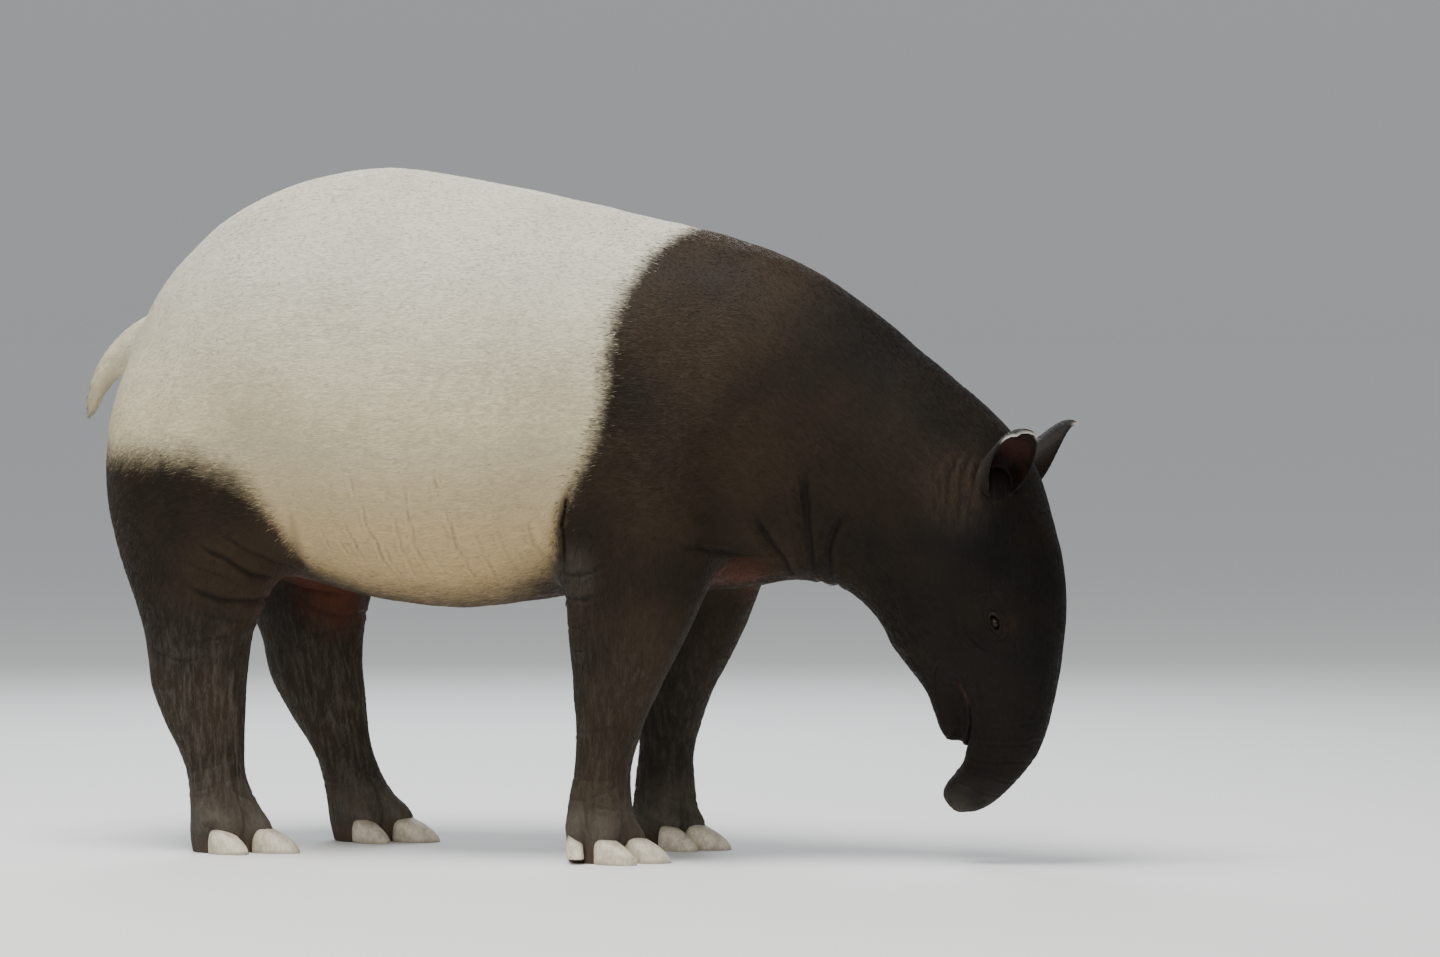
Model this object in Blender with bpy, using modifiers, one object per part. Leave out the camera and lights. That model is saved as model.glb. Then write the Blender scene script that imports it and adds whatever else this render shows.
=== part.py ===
"""A Malayan tapir that stands with its head lowered, as a still, life-size model in named solids.

The animal faces +X, its left side is +Y and the floor is Z = 0. The body is drawn in centimetres
for an animal 108 cm high at the rump, and RUMP_HEIGHT scales the whole of it.
"""
import math
from collections import Counter, namedtuple

import bmesh
import bpy
import numpy as np
from mathutils import Matrix, Vector
from mathutils.bvhtree import BVHTree

RUMP_HEIGHT = 1.08
CM = RUMP_HEIGHT / 108.0

# Sizes from here on are in centimetres.
VOXEL = 0.9
GAP = 0.032
WELD = 0.004
BODY_TRIANGLES = 5600

# One slice across a body: its two ends in the side plane, and how wide it is between them.
# bulge moves the widest place towards the back or belly end, and square above 2 fills the corners.
Slice = namedtuple("Slice", "front back half side bulge square", defaults=(0.0, 0.0, 2.0))

BODY_SLICES = [
    Slice((-62.0, 71.5), (-62.0, 67.0), 2.4),
    Slice((-60.8, 76.5), (-60.8, 62.0), 6.4),
    Slice((-58.6, 82.0), (-58.2, 57.0), 10.6),
    Slice((-54.5, 89.6), (-54.0, 52.0), 15.6, 0, 0.02),
    Slice((-47.0, 97.9), (-47.0, 47.5), 20.0, 0, 0.05),
    Slice((-38.0, 103.6), (-38.0, 44.5), 23.4, 0, 0.08),
    Slice((-27.0, 107.2), (-27.0, 41.6), 26.2, 0, 0.12),
    Slice((-15.0, 108.2), (-15.0, 39.3), 28.0, 0, 0.16, 2.1),
    Slice((-4.0, 106.7), (-4.0, 38.4), 28.4, 0, 0.18, 2.15),
    Slice((8.0, 104.3), (8.0, 39.8), 27.0, 0, 0.16, 2.15),
    Slice((19.0, 101.8), (18.5, 41.4), 23.8, 0, 0.10, 2.1),
    Slice((30.0, 99.5), (29.0, 41.8), 20.8, 0, 0.06),
    Slice((41.0, 96.8), (38.0, 41.6), 18.2, 0, 0.04),
    Slice((51.6, 92.7), (44.5, 42.2), 15.8, 0, 0.03),
    Slice((61.3, 86.9), (50.0, 43.3), 13.8, 0, 0.03),
    Slice((70.4, 79.6), (54.3, 43.2), 12.5, 0, 0.04),
    Slice((79.0, 72.4), (58.0, 42.3), 11.8, 0, 0.05),
    Slice((85.6, 66.3), (61.0, 40.4), 11.3, 0, 0.06),
    Slice((89.4, 61.0), (63.5, 38.2), 11.1, 0, 0.08),
    Slice((91.8, 54.0), (65.2, 35.8), 11.0, 0, 0.10),
    Slice((93.3, 47.0), (66.6, 33.0), 10.5, 0, 0.12),
    Slice((93.8, 40.5), (69.4, 30.6), 9.5, 0, 0.12),
    Slice((93.5, 34.5), (73.2, 28.4), 7.9, 0, 0.10),
    Slice((92.9, 29.5), (76.6, 26.0), 6.5, 0, 0.06),
    Slice((91.9, 25.0), (77.9, 22.8), 5.6, 0, 0.03),
    Slice((90.9, 21.2), (78.3, 19.6), 5.0),
    Slice((89.2, 17.0), (77.8, 16.8), 4.5),
    Slice((86.4, 13.0), (76.4, 14.4), 4.2),
    Slice((83.0, 9.9), (74.9, 12.9), 4.0, 0, 0, 2.1),
    Slice((79.6, 8.0), (74.2, 11.6), 3.7, 0, 0, 2.2),
    Slice((76.9, 7.6), (74.4, 10.1), 3.0, 0, 0, 2.2),
]

JAW_SLICES = [
    Slice((83.0, 38.0), (66.5, 33.0), 8.0),
    Slice((80.6, 31.0), (69.4, 29.2), 6.2),
    Slice((79.4, 26.2), (71.6, 26.2), 4.8),
    Slice((78.7, 22.8), (73.0, 22.4), 4.0),
    Slice((78.0, 20.2), (74.3, 19.6), 3.1),
    Slice((77.2, 18.9), (75.2, 18.5), 1.8),
]

FORE_LEG_SLICES = [
    Slice((36.0, 90.0), (24.0, 90.0), 4.0, 8.0),
    Slice((41.0, 80.0), (19.5, 82.0), 7.0, 10.8),
    Slice((43.6, 68.0), (16.8, 72.0), 8.8, 12.2),
    Slice((43.4, 56.0), (16.4, 60.0), 9.2, 12.6),
    Slice((42.0, 46.0), (16.8, 49.0), 8.6, 12.8),
    Slice((38.6, 38.0), (17.2, 39.5), 7.6, 13.2),
    Slice((34.8, 31.0), (18.2, 31.0), 6.6, 13.6),
    Slice((31.6, 25.0), (18.6, 25.0), 5.9, 13.8),
    Slice((29.3, 19.5), (19.1, 19.5), 5.3, 14.0),
    Slice((28.1, 14.6), (18.8, 14.2), 4.9, 14.2),
    Slice((28.2, 10.6), (18.2, 10.0), 5.0, 14.3),
    Slice((28.6, 6.8), (17.8, 6.0), 5.2, 14.4),
    Slice((27.4, 3.2), (17.8, 3.0), 5.0, 14.4),
    Slice((26.4, -1.4), (18.2, -1.4), 4.8, 14.4),
]

HIND_LEG_SLICES = [
    Slice((-37.0, 94.0), (-50.0, 88.0), 4.0, 8.0),
    Slice((-31.0, 84.0), (-56.5, 79.0), 8.6, 10.0),
    Slice((-27.4, 72.0), (-60.0, 68.0), 11.2, 11.6),
    Slice((-26.0, 60.0), (-60.0, 56.0), 11.4, 12.6),
    Slice((-27.0, 50.0), (-57.4, 46.0), 9.8, 13.2),
    Slice((-31.2, 42.6), (-54.6, 39.0), 8.0, 13.6),
    Slice((-34.8, 35.0), (-52.8, 32.5), 6.6, 13.8),
    Slice((-36.0, 28.2), (-51.8, 26.6), 5.7, 13.8),
    Slice((-36.3, 22.6), (-50.2, 21.0), 5.0, 13.8),
    Slice((-36.6, 17.0), (-47.5, 16.0), 4.6, 13.8),
    Slice((-36.2, 12.6), (-46.0, 12.0), 4.5, 13.8),
    Slice((-34.9, 9.2), (-45.5, 8.0), 4.8, 13.8),
    Slice((-33.2, 6.2), (-45.6, 5.0), 5.0, 13.8),
    Slice((-34.0, 3.0), (-45.6, 2.2), 5.0, 13.8),
    Slice((-35.0, -1.4), (-45.0, -1.4), 4.9, 13.8),
]

TAIL_SLICES = [
    Slice((-55.0, 86.6), (-54.0, 78.8), 3.4),
    Slice((-60.8, 84.0), (-58.8, 77.2), 3.1),
    Slice((-65.2, 80.2), (-62.6, 75.2), 2.6),
    Slice((-68.2, 75.8), (-65.6, 72.6), 2.1),
    Slice((-69.6, 71.4), (-67.0, 69.8), 1.6),
    Slice((-69.7, 68.4), (-68.1, 67.6), 0.9),
]

# The left feet stand this far ahead of the right ones, and their whole legs swing to it.
HIND_STRIDE = 13.2
FORE_STRIDE = 1.0
HIP_HEIGHT = 88.0
BLEND_REACH = 10.0
BLEND_ROUNDS = 110
SOFTEN_ROUNDS = 6

FOOT_Y = 14.4
HIND_FOOT_Y = 13.8

# A toe: where its tip comes down ahead of and outside the leg's foot, its turn outwards in
# degrees, the length, width and height of its hoof, and how far its sole is off the floor.
Toe = namedtuple("Toe", "name ahead outside turn length width height lift", defaults=(0.0,))
FORE_FOOT_X = 23.4
FORE_TOES = [
    Toe("third", 11.2, -0.8, 0, 7.9, 5.2, 5.2),
    Toe("fourth", 7.4, 5.2, 14, 7.5, 4.8, 5.3),
    Toe("second", 7.0, -5.7, -14, 7.0, 4.5, 5.0),
    Toe("fifth", -1.4, 7.2, 60, 3.9, 2.8, 4.6, 0.8),
]
# How round a hoof is, from 1 for a ball down towards 0 for a block, and how far its front leans
# back for each centimetre up.
HOOF_SQUARE = 0.8
HOOF_SLOPE = 0.75
# The hoof's height above its middle and the middle's own height, as shares of the whole height.
HOOF_ABOVE = 0.80
HOOF_MIDDLE = 0.20
# A toe's flesh: how far it dips forwards in degrees, how far back and how high its middle lies in
# hoof lengths and heights, and its radii in the hoof's length, width and height.
FLESH_DIP = 33
FLESH_BACK = 1.02
FLESH_RISE = 1.04
FLESH_RADII = (0.60, 0.52, 0.44)
HIND_FOOT_X = -39.2
HIND_TOES = [
    Toe("third", 12.2, 0.0, 0, 8.2, 5.3, 5.1),
    Toe("fourth", 5.6, 5.7, 16, 7.4, 4.6, 5.1),
    Toe("second", 5.6, -5.7, -16, 7.0, 4.5, 5.0),
]

EYE_RADIUS = 1.4
EYE_X = 84.7
EYE_Y = 7.75
EYE_Z = 37.6
EYE_LOOK = (0.22, 0.97, 0.05)
LID_RADII = (2.6, 2.2, 1.72)

# Half the eye's opening along the lids, across them and into the head, and its slant.
LID_OPENING = (1.35, 0.78, 1.15)
LID_SLANT = math.radians(68)

# The right ear, whose side is -1, is held lower than the left one, and its cup faces further out.
EAR_ROOT = (85.2, 7.6, 57.0)
EAR_LINES = {-1: (0.49, 0.58, 0.60), 1: (0.65, 0.50, 0.84)}
EAR_FACES = {-1: (0.55, 0.53, -0.50), 1: (0.45, 0.22, -0.20)}
EAR_LENGTH = 13.7
EAR_HALF_WIDTH = 3.6
EAR_THICKNESS = 0.62
# The share of the ear's length where it is widest, and its width at the root.
EAR_WIDEST = 0.56
EAR_ROOT_WIDTH = 0.66
# Half the arc that the ear's leaf is rolled round, in degrees, at its tip and more at its root.
EAR_TIP_ROLL = 42
EAR_ROOT_ROLL = 106
# How blunt the tip is: 0.5 for a half ellipse, and less for a blunter one.
EAR_TIP_ROUND = 0.40

# Balls under the skin, as a middle and radii on the left side, and mirrored on the right.
CHEEK = ((76.5, 6.2, 40.5), (8.2, 4.6, 8.8))
BROW = ((84.8, 7.0, 41.2), (3.4, 2.4, 3.2))
ELBOW = ((21.0, 15.4, 44.0), (4.0, 3.6, 5.4))


def clear_scene():
    for old in list(bpy.data.objects):
        bpy.data.objects.remove(old, do_unlink=True)


def smooth_rows(rows, places, steps):
    """Rows of numbers with steps - 1 more between each two, on curves through them.

    places holds one point a row, and their distances set how the curves are timed.
    """
    rows = np.array(rows, float)
    gaps = np.maximum(np.linalg.norm(np.diff(np.array(places, float), axis=0), axis=1), 1e-6)
    pace = np.diff(rows, axis=0) / gaps[:, None]
    slope = np.empty_like(rows)
    slope[0], slope[-1] = pace[0], pace[-1]
    before, after = gaps[:-1, None], gaps[1:, None]
    slope[1:-1] = (pace[:-1] * after + pace[1:] * before) / (before + after)
    found = []
    for i, gap in enumerate(gaps):
        for t in np.arange(steps) / steps:
            found.append(
                (2 * t**3 - 3 * t**2 + 1) * rows[i]
                + (t**3 - 2 * t**2 + t) * gap * slope[i]
                + (3 * t**2 - 2 * t**3) * rows[i + 1]
                + (t**3 - t**2) * gap * slope[i + 1]
            )
    return np.array(found + [rows[-1]])


def loft(slices, around=36, steps=5):
    """A closed bmesh through smooth slices between the ones given."""
    rows = [(*s.front, *s.back, s.half, s.side, s.bulge, s.square) for s in slices]
    places = [((s.front[0] + s.back[0]) / 2, (s.front[1] + s.back[1]) / 2) for s in slices]
    body = bmesh.new()
    rings = []
    for fx, fz, bx, bz, half, side, bulge, square in smooth_rows(rows, places, steps):
        ring = []
        for k in range(around):
            turn = 2 * math.pi * k / around
            up = math.copysign(abs(math.sin(turn)) ** (2 / square), math.sin(turn))
            out = math.copysign(abs(math.cos(turn)) ** (2 / square), math.cos(turn))
            x = (fx + bx) / 2 + (fx - bx) / 2 * up
            z = (fz + bz) / 2 + (fz - bz) / 2 * up
            ring.append(body.verts.new((x, side + half * out * (1 - bulge * up), z)))
        rings.append(ring)
    for low, high in zip(rings, rings[1:]):
        for k in range(around):
            body.faces.new((low[k], low[(k + 1) % around], high[(k + 1) % around], high[k]))
    body.faces.new(rings[0])
    body.faces.new(rings[-1])
    bmesh.ops.recalc_face_normals(body, faces=body.faces)
    return body


def on_right(slices):
    return [s._replace(side=-s.side) for s in slices]


def swung(slices, stride):
    """A leg's slices moved forward, by nothing at the hip and by stride at the floor."""
    moved = []
    for s in slices:
        fx = s.front[0] + stride * max(0.0, HIP_HEIGHT - s.front[1]) / HIP_HEIGHT
        bx = s.back[0] + stride * max(0.0, HIP_HEIGHT - s.back[1]) / HIP_HEIGHT
        moved.append(s._replace(front=(fx, s.front[1]), back=(bx, s.back[1])))
    return moved


def ball(centre, radii, turn=None, segments=16, rings=10):
    """A closed ellipsoid bmesh, turned by a matrix about its centre."""
    body = bmesh.new()
    place = Matrix.Translation(Vector(centre))
    if turn is not None:
        place = place @ turn.to_4x4()
    place = place @ Matrix.Diagonal((*radii, 1.0))
    bmesh.ops.create_uvsphere(
        body, u_segments=segments, v_segments=rings, radius=1.0, matrix=place
    )
    return body


def box(centre, along, up, size):
    """A closed box bmesh whose X is along and whose Z leans to up, with full sizes."""
    x = Vector(along).normalized()
    y = Vector(up).cross(x).normalized()
    z = x.cross(y)
    turn = Matrix((x, y, z)).transposed().to_4x4()
    body = bmesh.new()
    place = Matrix.Translation(Vector(centre)) @ turn @ Matrix.Diagonal((*size, 1.0))
    bmesh.ops.create_cube(body, size=1.0, matrix=place)
    return body


def plate(path, thicknesses, half_width):
    """A closed thin plate whose line in the side plane is path, as wide as half_width each way."""
    points = [Vector(p) for p in path]
    sides = []
    for i, point in enumerate(points):
        ahead = points[min(i + 1, len(points) - 1)] - points[max(i - 1, 0)]
        ahead.normalize()
        sides.append(Vector((-ahead.y, ahead.x)) * thicknesses[i] / 2)
    outline = [p + s for p, s in zip(points, sides)]
    outline += [p - s for p, s in reversed(list(zip(points, sides)))]
    body = bmesh.new()
    near = [body.verts.new((p.x, -half_width, p.y)) for p in outline]
    far = [body.verts.new((p.x, half_width, p.y)) for p in outline]
    count = len(outline)
    for i in range(count):
        j = (i + 1) % count
        body.faces.new((near[i], near[j], far[j], far[i]))
    for i in range(len(points) - 1):
        a, b, c, d = i, i + 1, count - 2 - i, count - 1 - i
        body.faces.new((near[a], near[b], near[c], near[d]))
        body.faces.new((far[a], far[b], far[c], far[d]))
    bmesh.ops.recalc_face_normals(body, faces=body.faces)
    return body


def join(bodies):
    """One bmesh that holds all of these, which are freed."""
    whole = bmesh.new()
    for body in bodies:
        mesh = bpy.data.meshes.new("piece")
        body.to_mesh(mesh)
        body.free()
        whole.from_mesh(mesh)
        bpy.data.meshes.remove(mesh)
    return whole


def as_object(name, body):
    mesh = bpy.data.meshes.new(name)
    body.to_mesh(mesh)
    body.free()
    found = bpy.data.objects.new(name, mesh)
    bpy.context.scene.collection.objects.link(found)
    return found


def settle(item):
    """Turns an object's modifiers into its mesh."""
    bpy.context.view_layer.update()
    mesh = bpy.data.meshes.new_from_object(
        item.evaluated_get(bpy.context.evaluated_depsgraph_get())
    )
    item.modifiers.clear()
    old = item.data
    item.data = mesh
    bpy.data.meshes.remove(old)


def combine(item, operation, body):
    """Adds a bmesh to an object, or takes it away, and frees it.

    The EXACT solver loses the whole body at the floor's cut, so this is the MANIFOLD one.
    """
    tool = as_object("tool", body)
    step = item.modifiers.new("step", "BOOLEAN")
    step.operation = operation
    step.object = tool
    step.solver = "MANIFOLD"
    settle(item)
    bpy.data.objects.remove(tool, do_unlink=True)


def mirrored(point, side):
    return Vector((point[0], point[1] * side, point[2]))


def foot_toes():
    """Every toe of the four feet as (foot name, toe, tip point, direction)."""
    feet = [
        ("front", FORE_TOES, FORE_FOOT_X, FOOT_Y, FORE_STRIDE),
        ("hind", HIND_TOES, HIND_FOOT_X, HIND_FOOT_Y, HIND_STRIDE),
    ]
    found = []
    for end, toes, foot_x, foot_y, left_stride in feet:
        for side, side_name in ((-1, "right"), (1, "left")):
            x = foot_x + (left_stride if side > 0 else 0.0)
            for toe in toes:
                turn = math.radians(toe.turn)
                way = Vector((math.cos(turn), side * math.sin(turn), 0.0))
                tip = Vector((x + toe.ahead, side * (foot_y + toe.outside), toe.lift))
                found.append((f"{end}_{side_name}", toe, tip, way))
    return found


def toe_flesh(toe, tip, way):
    """The toe above a hoof, from inside the foot to just short of the hoof's tip."""
    side = Vector((0, 0, 1)).cross(way)
    dip = math.radians(FLESH_DIP)
    ahead = (way * math.cos(dip) - Vector((0, 0, 1)) * math.sin(dip)).normalized()
    turn = Matrix((ahead, side, ahead.cross(side))).transposed()
    centre = tip - way * toe.length * FLESH_BACK + Vector((0, 0, toe.height * FLESH_RISE))
    sizes = (toe.length, toe.width, toe.height)
    return ball(centre, [size * share for size, share in zip(sizes, FLESH_RADII)], turn)


def hoof_block(toe, tip, way, grow):
    """A hoof's rounded block, before the floor cuts it, grown all round by grow."""
    side = Vector((0, 0, 1)).cross(way)
    body = ball((0, 0, 0), (1, 1, 1), None, 12, 7)
    reach = (toe.length / 2, toe.width / 2, toe.height * HOOF_ABOVE)
    low = toe.height * HOOF_MIDDLE
    for vert in body.verts:
        x, y, z = [math.copysign(abs(c) ** HOOF_SQUARE, c) * r for c, r in zip(vert.co, reach)]
        # The wall leans back towards the coronet, and sinks and narrows towards the tip.
        ahead = 2 * x / toe.length
        z *= 0.74 - 0.30 * ahead
        x -= HOOF_SLOPE * (z + low) * (0.5 + 0.5 * ahead)
        y *= 0.95 - 0.20 * max(0.0, ahead)
        vert.co = tip + way * (x - toe.length * 0.48) + side * y + Vector((0, 0, z + low))
    # A hoof and its pocket get the same triangles, or their diagonals would cross.
    bmesh.ops.triangulate(body, faces=body.faces)
    bmesh.ops.recalc_face_normals(body, faces=body.faces)
    body.normal_update()
    for vert, normal in [(v, v.normal.copy()) for v in body.verts]:
        vert.co += normal * grow
    return body


def flat_soled(body, level):
    """The part of a bmesh above a level, closed by a flat sole."""
    cut = bmesh.ops.bisect_plane(
        body,
        geom=body.verts[:] + body.edges[:] + body.faces[:],
        plane_co=(0, 0, level),
        plane_no=(0, 0, 1),
        clear_inner=True,
    )
    rim = [e for e in cut["geom_cut"] if isinstance(e, bmesh.types.BMEdge)]
    bmesh.ops.contextual_create(body, geom=rim)
    bmesh.ops.recalc_face_normals(body, faces=body.faces)
    return body


def ear_leaf(side, thickness, along=10, across=8):
    """A cupped ear: a rolled tube at its root that opens to a round leaf."""
    line = mirrored(EAR_LINES[side], side).normalized()
    face = mirrored(EAR_FACES[side], side)
    face = (face - line * face.dot(line)).normalized()
    wide = line.cross(face).normalized()
    root = mirrored(EAR_ROOT, side)
    body = bmesh.new()
    layers = []
    for push in (0.0, thickness):
        rows = []
        for i in range(along + 1):
            s = i / along
            # The half width swells from the root, and closes in a round tip just past the end.
            rise = math.sin(math.pi / 2 * min(1.0, s / EAR_WIDEST))
            past = max(0.0, s - EAR_WIDEST) / (1.02 - EAR_WIDEST)
            half = EAR_HALF_WIDTH * (EAR_ROOT_WIDTH + (1 - EAR_ROOT_WIDTH) * rise)
            half *= (1 - past**2) ** EAR_TIP_ROUND
            roll = math.radians(EAR_TIP_ROLL + EAR_ROOT_ROLL * (1 - s) ** 1.3)
            radius = half / math.sin(min(roll, math.pi / 2))
            row = []
            for k in range(across + 1):
                t = 2 * k / across - 1
                angle = roll * t
                thin = push * (1 - 0.45 * abs(t) ** 3) * (1 - 0.35 * s)
                r = radius + thin
                middle = EAR_HALF_WIDTH * 0.30 * (1 - s)
                deep = -math.cos(angle) * r + radius * math.cos(roll) * 0.35 - middle
                row.append(
                    body.verts.new(
                        root
                        + line * (EAR_LENGTH * s + thin * s * 0.6)
                        + wide * math.sin(angle) * r
                        + face * deep
                    )
                )
            rows.append(row)
        layers.append(rows)
    inner, outer = layers
    for i in range(along):
        for k in range(across):
            body.faces.new((inner[i][k], inner[i][k + 1], inner[i + 1][k + 1], inner[i + 1][k]))
            body.faces.new((outer[i][k], outer[i + 1][k], outer[i + 1][k + 1], outer[i][k + 1]))
        for k in (0, across):
            body.faces.new((inner[i][k], inner[i + 1][k], outer[i + 1][k], outer[i][k]))
    for i in (0, along):
        for k in range(across):
            body.faces.new((inner[i][k], outer[i][k], outer[i][k + 1], inner[i][k + 1]))
    bmesh.ops.recalc_face_normals(body, faces=body.faces)
    return body


def eye_centre(side):
    return Vector((EYE_X, side * EYE_Y, EYE_Z))


def eye_turn(side):
    """A matrix whose Z looks out of the eye, whose X runs along the lids and Y to the brow."""
    look = mirrored(EYE_LOOK, side).normalized()
    across = Vector((0, 0, 1)).cross(look).normalized()
    turn = Matrix((across, look.cross(across), look)).transposed()
    return turn @ Matrix.Rotation(LID_SLANT * side, 3, "Z")


def lids(side):
    """The ball of skin that covers the eye all round."""
    return ball(eye_centre(side), LID_RADII, eye_turn(side), 16, 9)


def lid_opening(side):
    """The almond between the lids, which is cut through them."""
    turn = eye_turn(side)
    centre = eye_centre(side) + turn @ Vector((0, 0, EYE_RADIUS))
    return ball(centre, LID_OPENING, turn, 12, 7)


def body_shapes():
    legs = [
        loft(swung(FORE_LEG_SLICES, FORE_STRIDE), 30),
        loft(on_right(FORE_LEG_SLICES), 30),
        loft(swung(HIND_LEG_SLICES, HIND_STRIDE), 30),
        loft(on_right(HIND_LEG_SLICES), 30),
    ]
    trunk = loft(BODY_SLICES, 48)
    extras = [loft(JAW_SLICES, 24), loft(TAIL_SLICES, 20)]
    for side in (-1, 1):
        for middle, radii in (CHEEK, BROW, ELBOW):
            extras.append(ball(mirrored(middle, side), radii))
    for _, toe, tip, way in foot_toes():
        extras.append(toe_flesh(toe, tip, way))
    return trunk, legs, extras


def one_skin():
    """The whole body as one smooth closed mesh, which the cuts then divide."""
    trunk, legs, extras = body_shapes()
    trunk_tree = BVHTree.FromBMesh(trunk)
    leg_trees = [BVHTree.FromBMesh(leg) for leg in legs]
    body = as_object("skin", join([trunk, *legs, *extras]))
    remesh = body.modifiers.new("remesh", "REMESH")
    remesh.mode = "VOXEL"
    remesh.voxel_size = VOXEL
    settle(body)

    # Where a leg runs into the trunk, the crease between them is worked smooth.
    blend = body.vertex_groups.new(name="blend")
    for vert in body.data.vertices:
        off_trunk = trunk_tree.find_nearest(vert.co)[3]
        off_leg = min(tree.find_nearest(vert.co)[3] for tree in leg_trees)
        weight = 1 - max(off_trunk, off_leg) / BLEND_REACH
        if weight > 0:
            blend.add([vert.index], weight, "REPLACE")
    for group, rounds in (("blend", BLEND_ROUNDS), ("", SOFTEN_ROUNDS)):
        smooth = body.modifiers.new("smooth", "SMOOTH")
        smooth.factor = 0.5
        smooth.iterations = rounds
        smooth.vertex_group = group
    settle(body)
    return body


def thin_out(body):
    """Fewer faces, with more of them left on the head and the feet than on the trunk."""
    coarse = body.vertex_groups.new(name="coarse")
    for vert in body.data.vertices:
        x, _, z = vert.co
        weight = 1.0
        if x > 66 or z < 9:
            weight = 0.25
        elif z < 42:
            weight = 0.6
        coarse.add([vert.index], weight, "REPLACE")
    step = body.modifiers.new("decimate", "DECIMATE")
    step.ratio = BODY_TRIANGLES / sum(len(p.vertices) - 2 for p in body.data.polygons)
    step.vertex_group = "coarse"
    step.vertex_group_factor = 0.6
    settle(body)


# The cuts that part the body: a middle point, the way through the cut, the way up it, and the
# cut's two sizes.
CUTS = [
    ((52.0, 0, 66.0), (0.986, 0, -0.168), (0.168, 0, 0.986), (60, 64)),
    ((70.5, 0, 54.0), (0.848, 0, -0.530), (0.530, 0, 0.848), (40, 60)),
    ((84.2, 0, 17.9), (0.36, 0, -0.94), (0.94, 0, 0.36), (16, 22)),
    ((-19.0, 0, 72.0), (1, 0, 0), (0, 0, 1), (80, 90)),
    ((-64.5, 0, 77.5), (-0.85, 0, -0.53), (-0.53, 0, 0.85), (7, 7)),
    ((28.5, -14, 38.0), (0, 0, 1), (1, 0, 0), (27, 30)),
    ((28.5, 14, 38.0), (0, 0, 1), (1, 0, 0), (27, 30)),
    ((-43.5, -14, 38.2), (0, 0, 1), (1, 0, 0), (27, 30)),
    ((-36.0, 14, 38.2), (0, 0, 1), (1, 0, 0), (27, 30)),
    ((24.0, -14, 15.5), (0, 0, 1), (1, 0, 0), (27, 30)),
    ((24.0, 14, 15.5), (0, 0, 1), (1, 0, 0), (27, 30)),
    ((-41.5, -14, 15.5), (0, 0, 1), (1, 0, 0), (27, 30)),
    ((-30.0, 14, 15.5), (0, 0, 1), (1, 0, 0), (27, 30)),
]

# The line of the mouth, from the notch behind the snout up to its corner, and then the cut
# that parts the lower jaw, with the width of the slit at each point.
MOUTH_LINE = [
    (76.2, 14.9), (77.6, 17.0), (78.9, 19.6), (79.6, 22.6), (79.4, 25.6), (78.2, 28.4),
    (76.4, 30.8), (72.6, 33.0), (68.0, 34.2), (61.0, 34.4),
]
MOUTH_WIDTHS = [0.5, 0.5, 0.42, 0.36, 0.30, 0.22, GAP, GAP, GAP, GAP]

NOSTRIL = (75.3, 1.35, 8.5)
NOSTRIL_RADII = (0.75, 0.55, 1.1)

# Where the middle of each part lies, nearly enough to tell it from the others.
PARTS = {
    "torso": (16.0, 0, 72.0),
    "hindquarters": (-38.0, 0, 72.0),
    "neck": (61.0, 0, 65.0),
    "head": (82.0, 0, 42.0),
    "snout": (82.0, 0, 13.5),
    "lower_jaw": (75.0, 0, 27.0),
    "tail": (-65.0, 0, 75.0),
    "leg_front_right": (26.0, -14.0, 26.0),
    "leg_front_left": (26.0, 14.0, 26.0),
    "leg_hind_right": (-43.0, -14.0, 26.0),
    "leg_hind_left": (-33.5, 14.0, 26.0),
    "foot_front_right": (24.5, -14.4, 7.0),
    "foot_front_left": (24.5, 14.4, 7.0),
    "foot_hind_right": (-39.5, -13.8, 7.0),
    "foot_hind_left": (-27.0, 13.8, 7.0),
}

HIDE_BLACK = (0.022, 0.019, 0.018)
HIDE_WHITE = (0.47, 0.45, 0.41)
HORN = (0.42, 0.37, 0.29)
EYE_DARK = (0.006, 0.004, 0.003)


def material(name, colour, roughness):
    made = bpy.data.materials.new(name)
    made.use_nodes = True
    shader = made.node_tree.nodes["Principled BSDF"]
    shader.inputs["Base Color"].default_value = (*colour, 1.0)
    shader.inputs["Roughness"].default_value = roughness
    shader.inputs["Metallic"].default_value = 0.0
    return made


def islands(item):
    """The separate closed surfaces of an object's mesh, as bmeshes, without folded flaps."""
    whole = bmesh.new()
    whole.from_mesh(item.data)
    bmesh.ops.triangulate(whole, faces=whole.faces)
    bmesh.ops.remove_doubles(whole, verts=whole.verts, dist=WELD)
    bmesh.ops.dissolve_degenerate(whole, edges=whole.edges, dist=WELD)
    uses = Counter(frozenset(v.index for v in f.verts) for f in whole.faces)
    flaps = [f for f in whole.faces if uses[frozenset(v.index for v in f.verts)] > 1]
    bmesh.ops.delete(whole, geom=flaps, context="FACES")
    whole.verts.index_update()
    seen = set()
    found = []
    for start in whole.verts:
        if start.index in seen:
            continue
        group = []
        waiting = [start]
        seen.add(start.index)
        while waiting:
            vert = waiting.pop()
            group.append(vert)
            for edge in vert.link_edges:
                other = edge.other_vert(vert)
                if other.index not in seen:
                    seen.add(other.index)
                    waiting.append(other)
        piece = bmesh.new()
        copies = {v.index: piece.verts.new(v.co) for v in group}
        faces = {f for v in group for f in v.link_faces}
        for face in sorted(faces, key=lambda f: f.index):
            piece.faces.new([copies[v.index] for v in face.verts])
        piece.faces.ensure_lookup_table()
        found.append(piece)
    whole.free()
    return found


def nearest_part(piece):
    middle = sum((v.co for v in piece.verts), Vector()) / len(piece.verts)
    return min(PARTS, key=lambda name: (middle - Vector(PARTS[name])).length)


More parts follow.
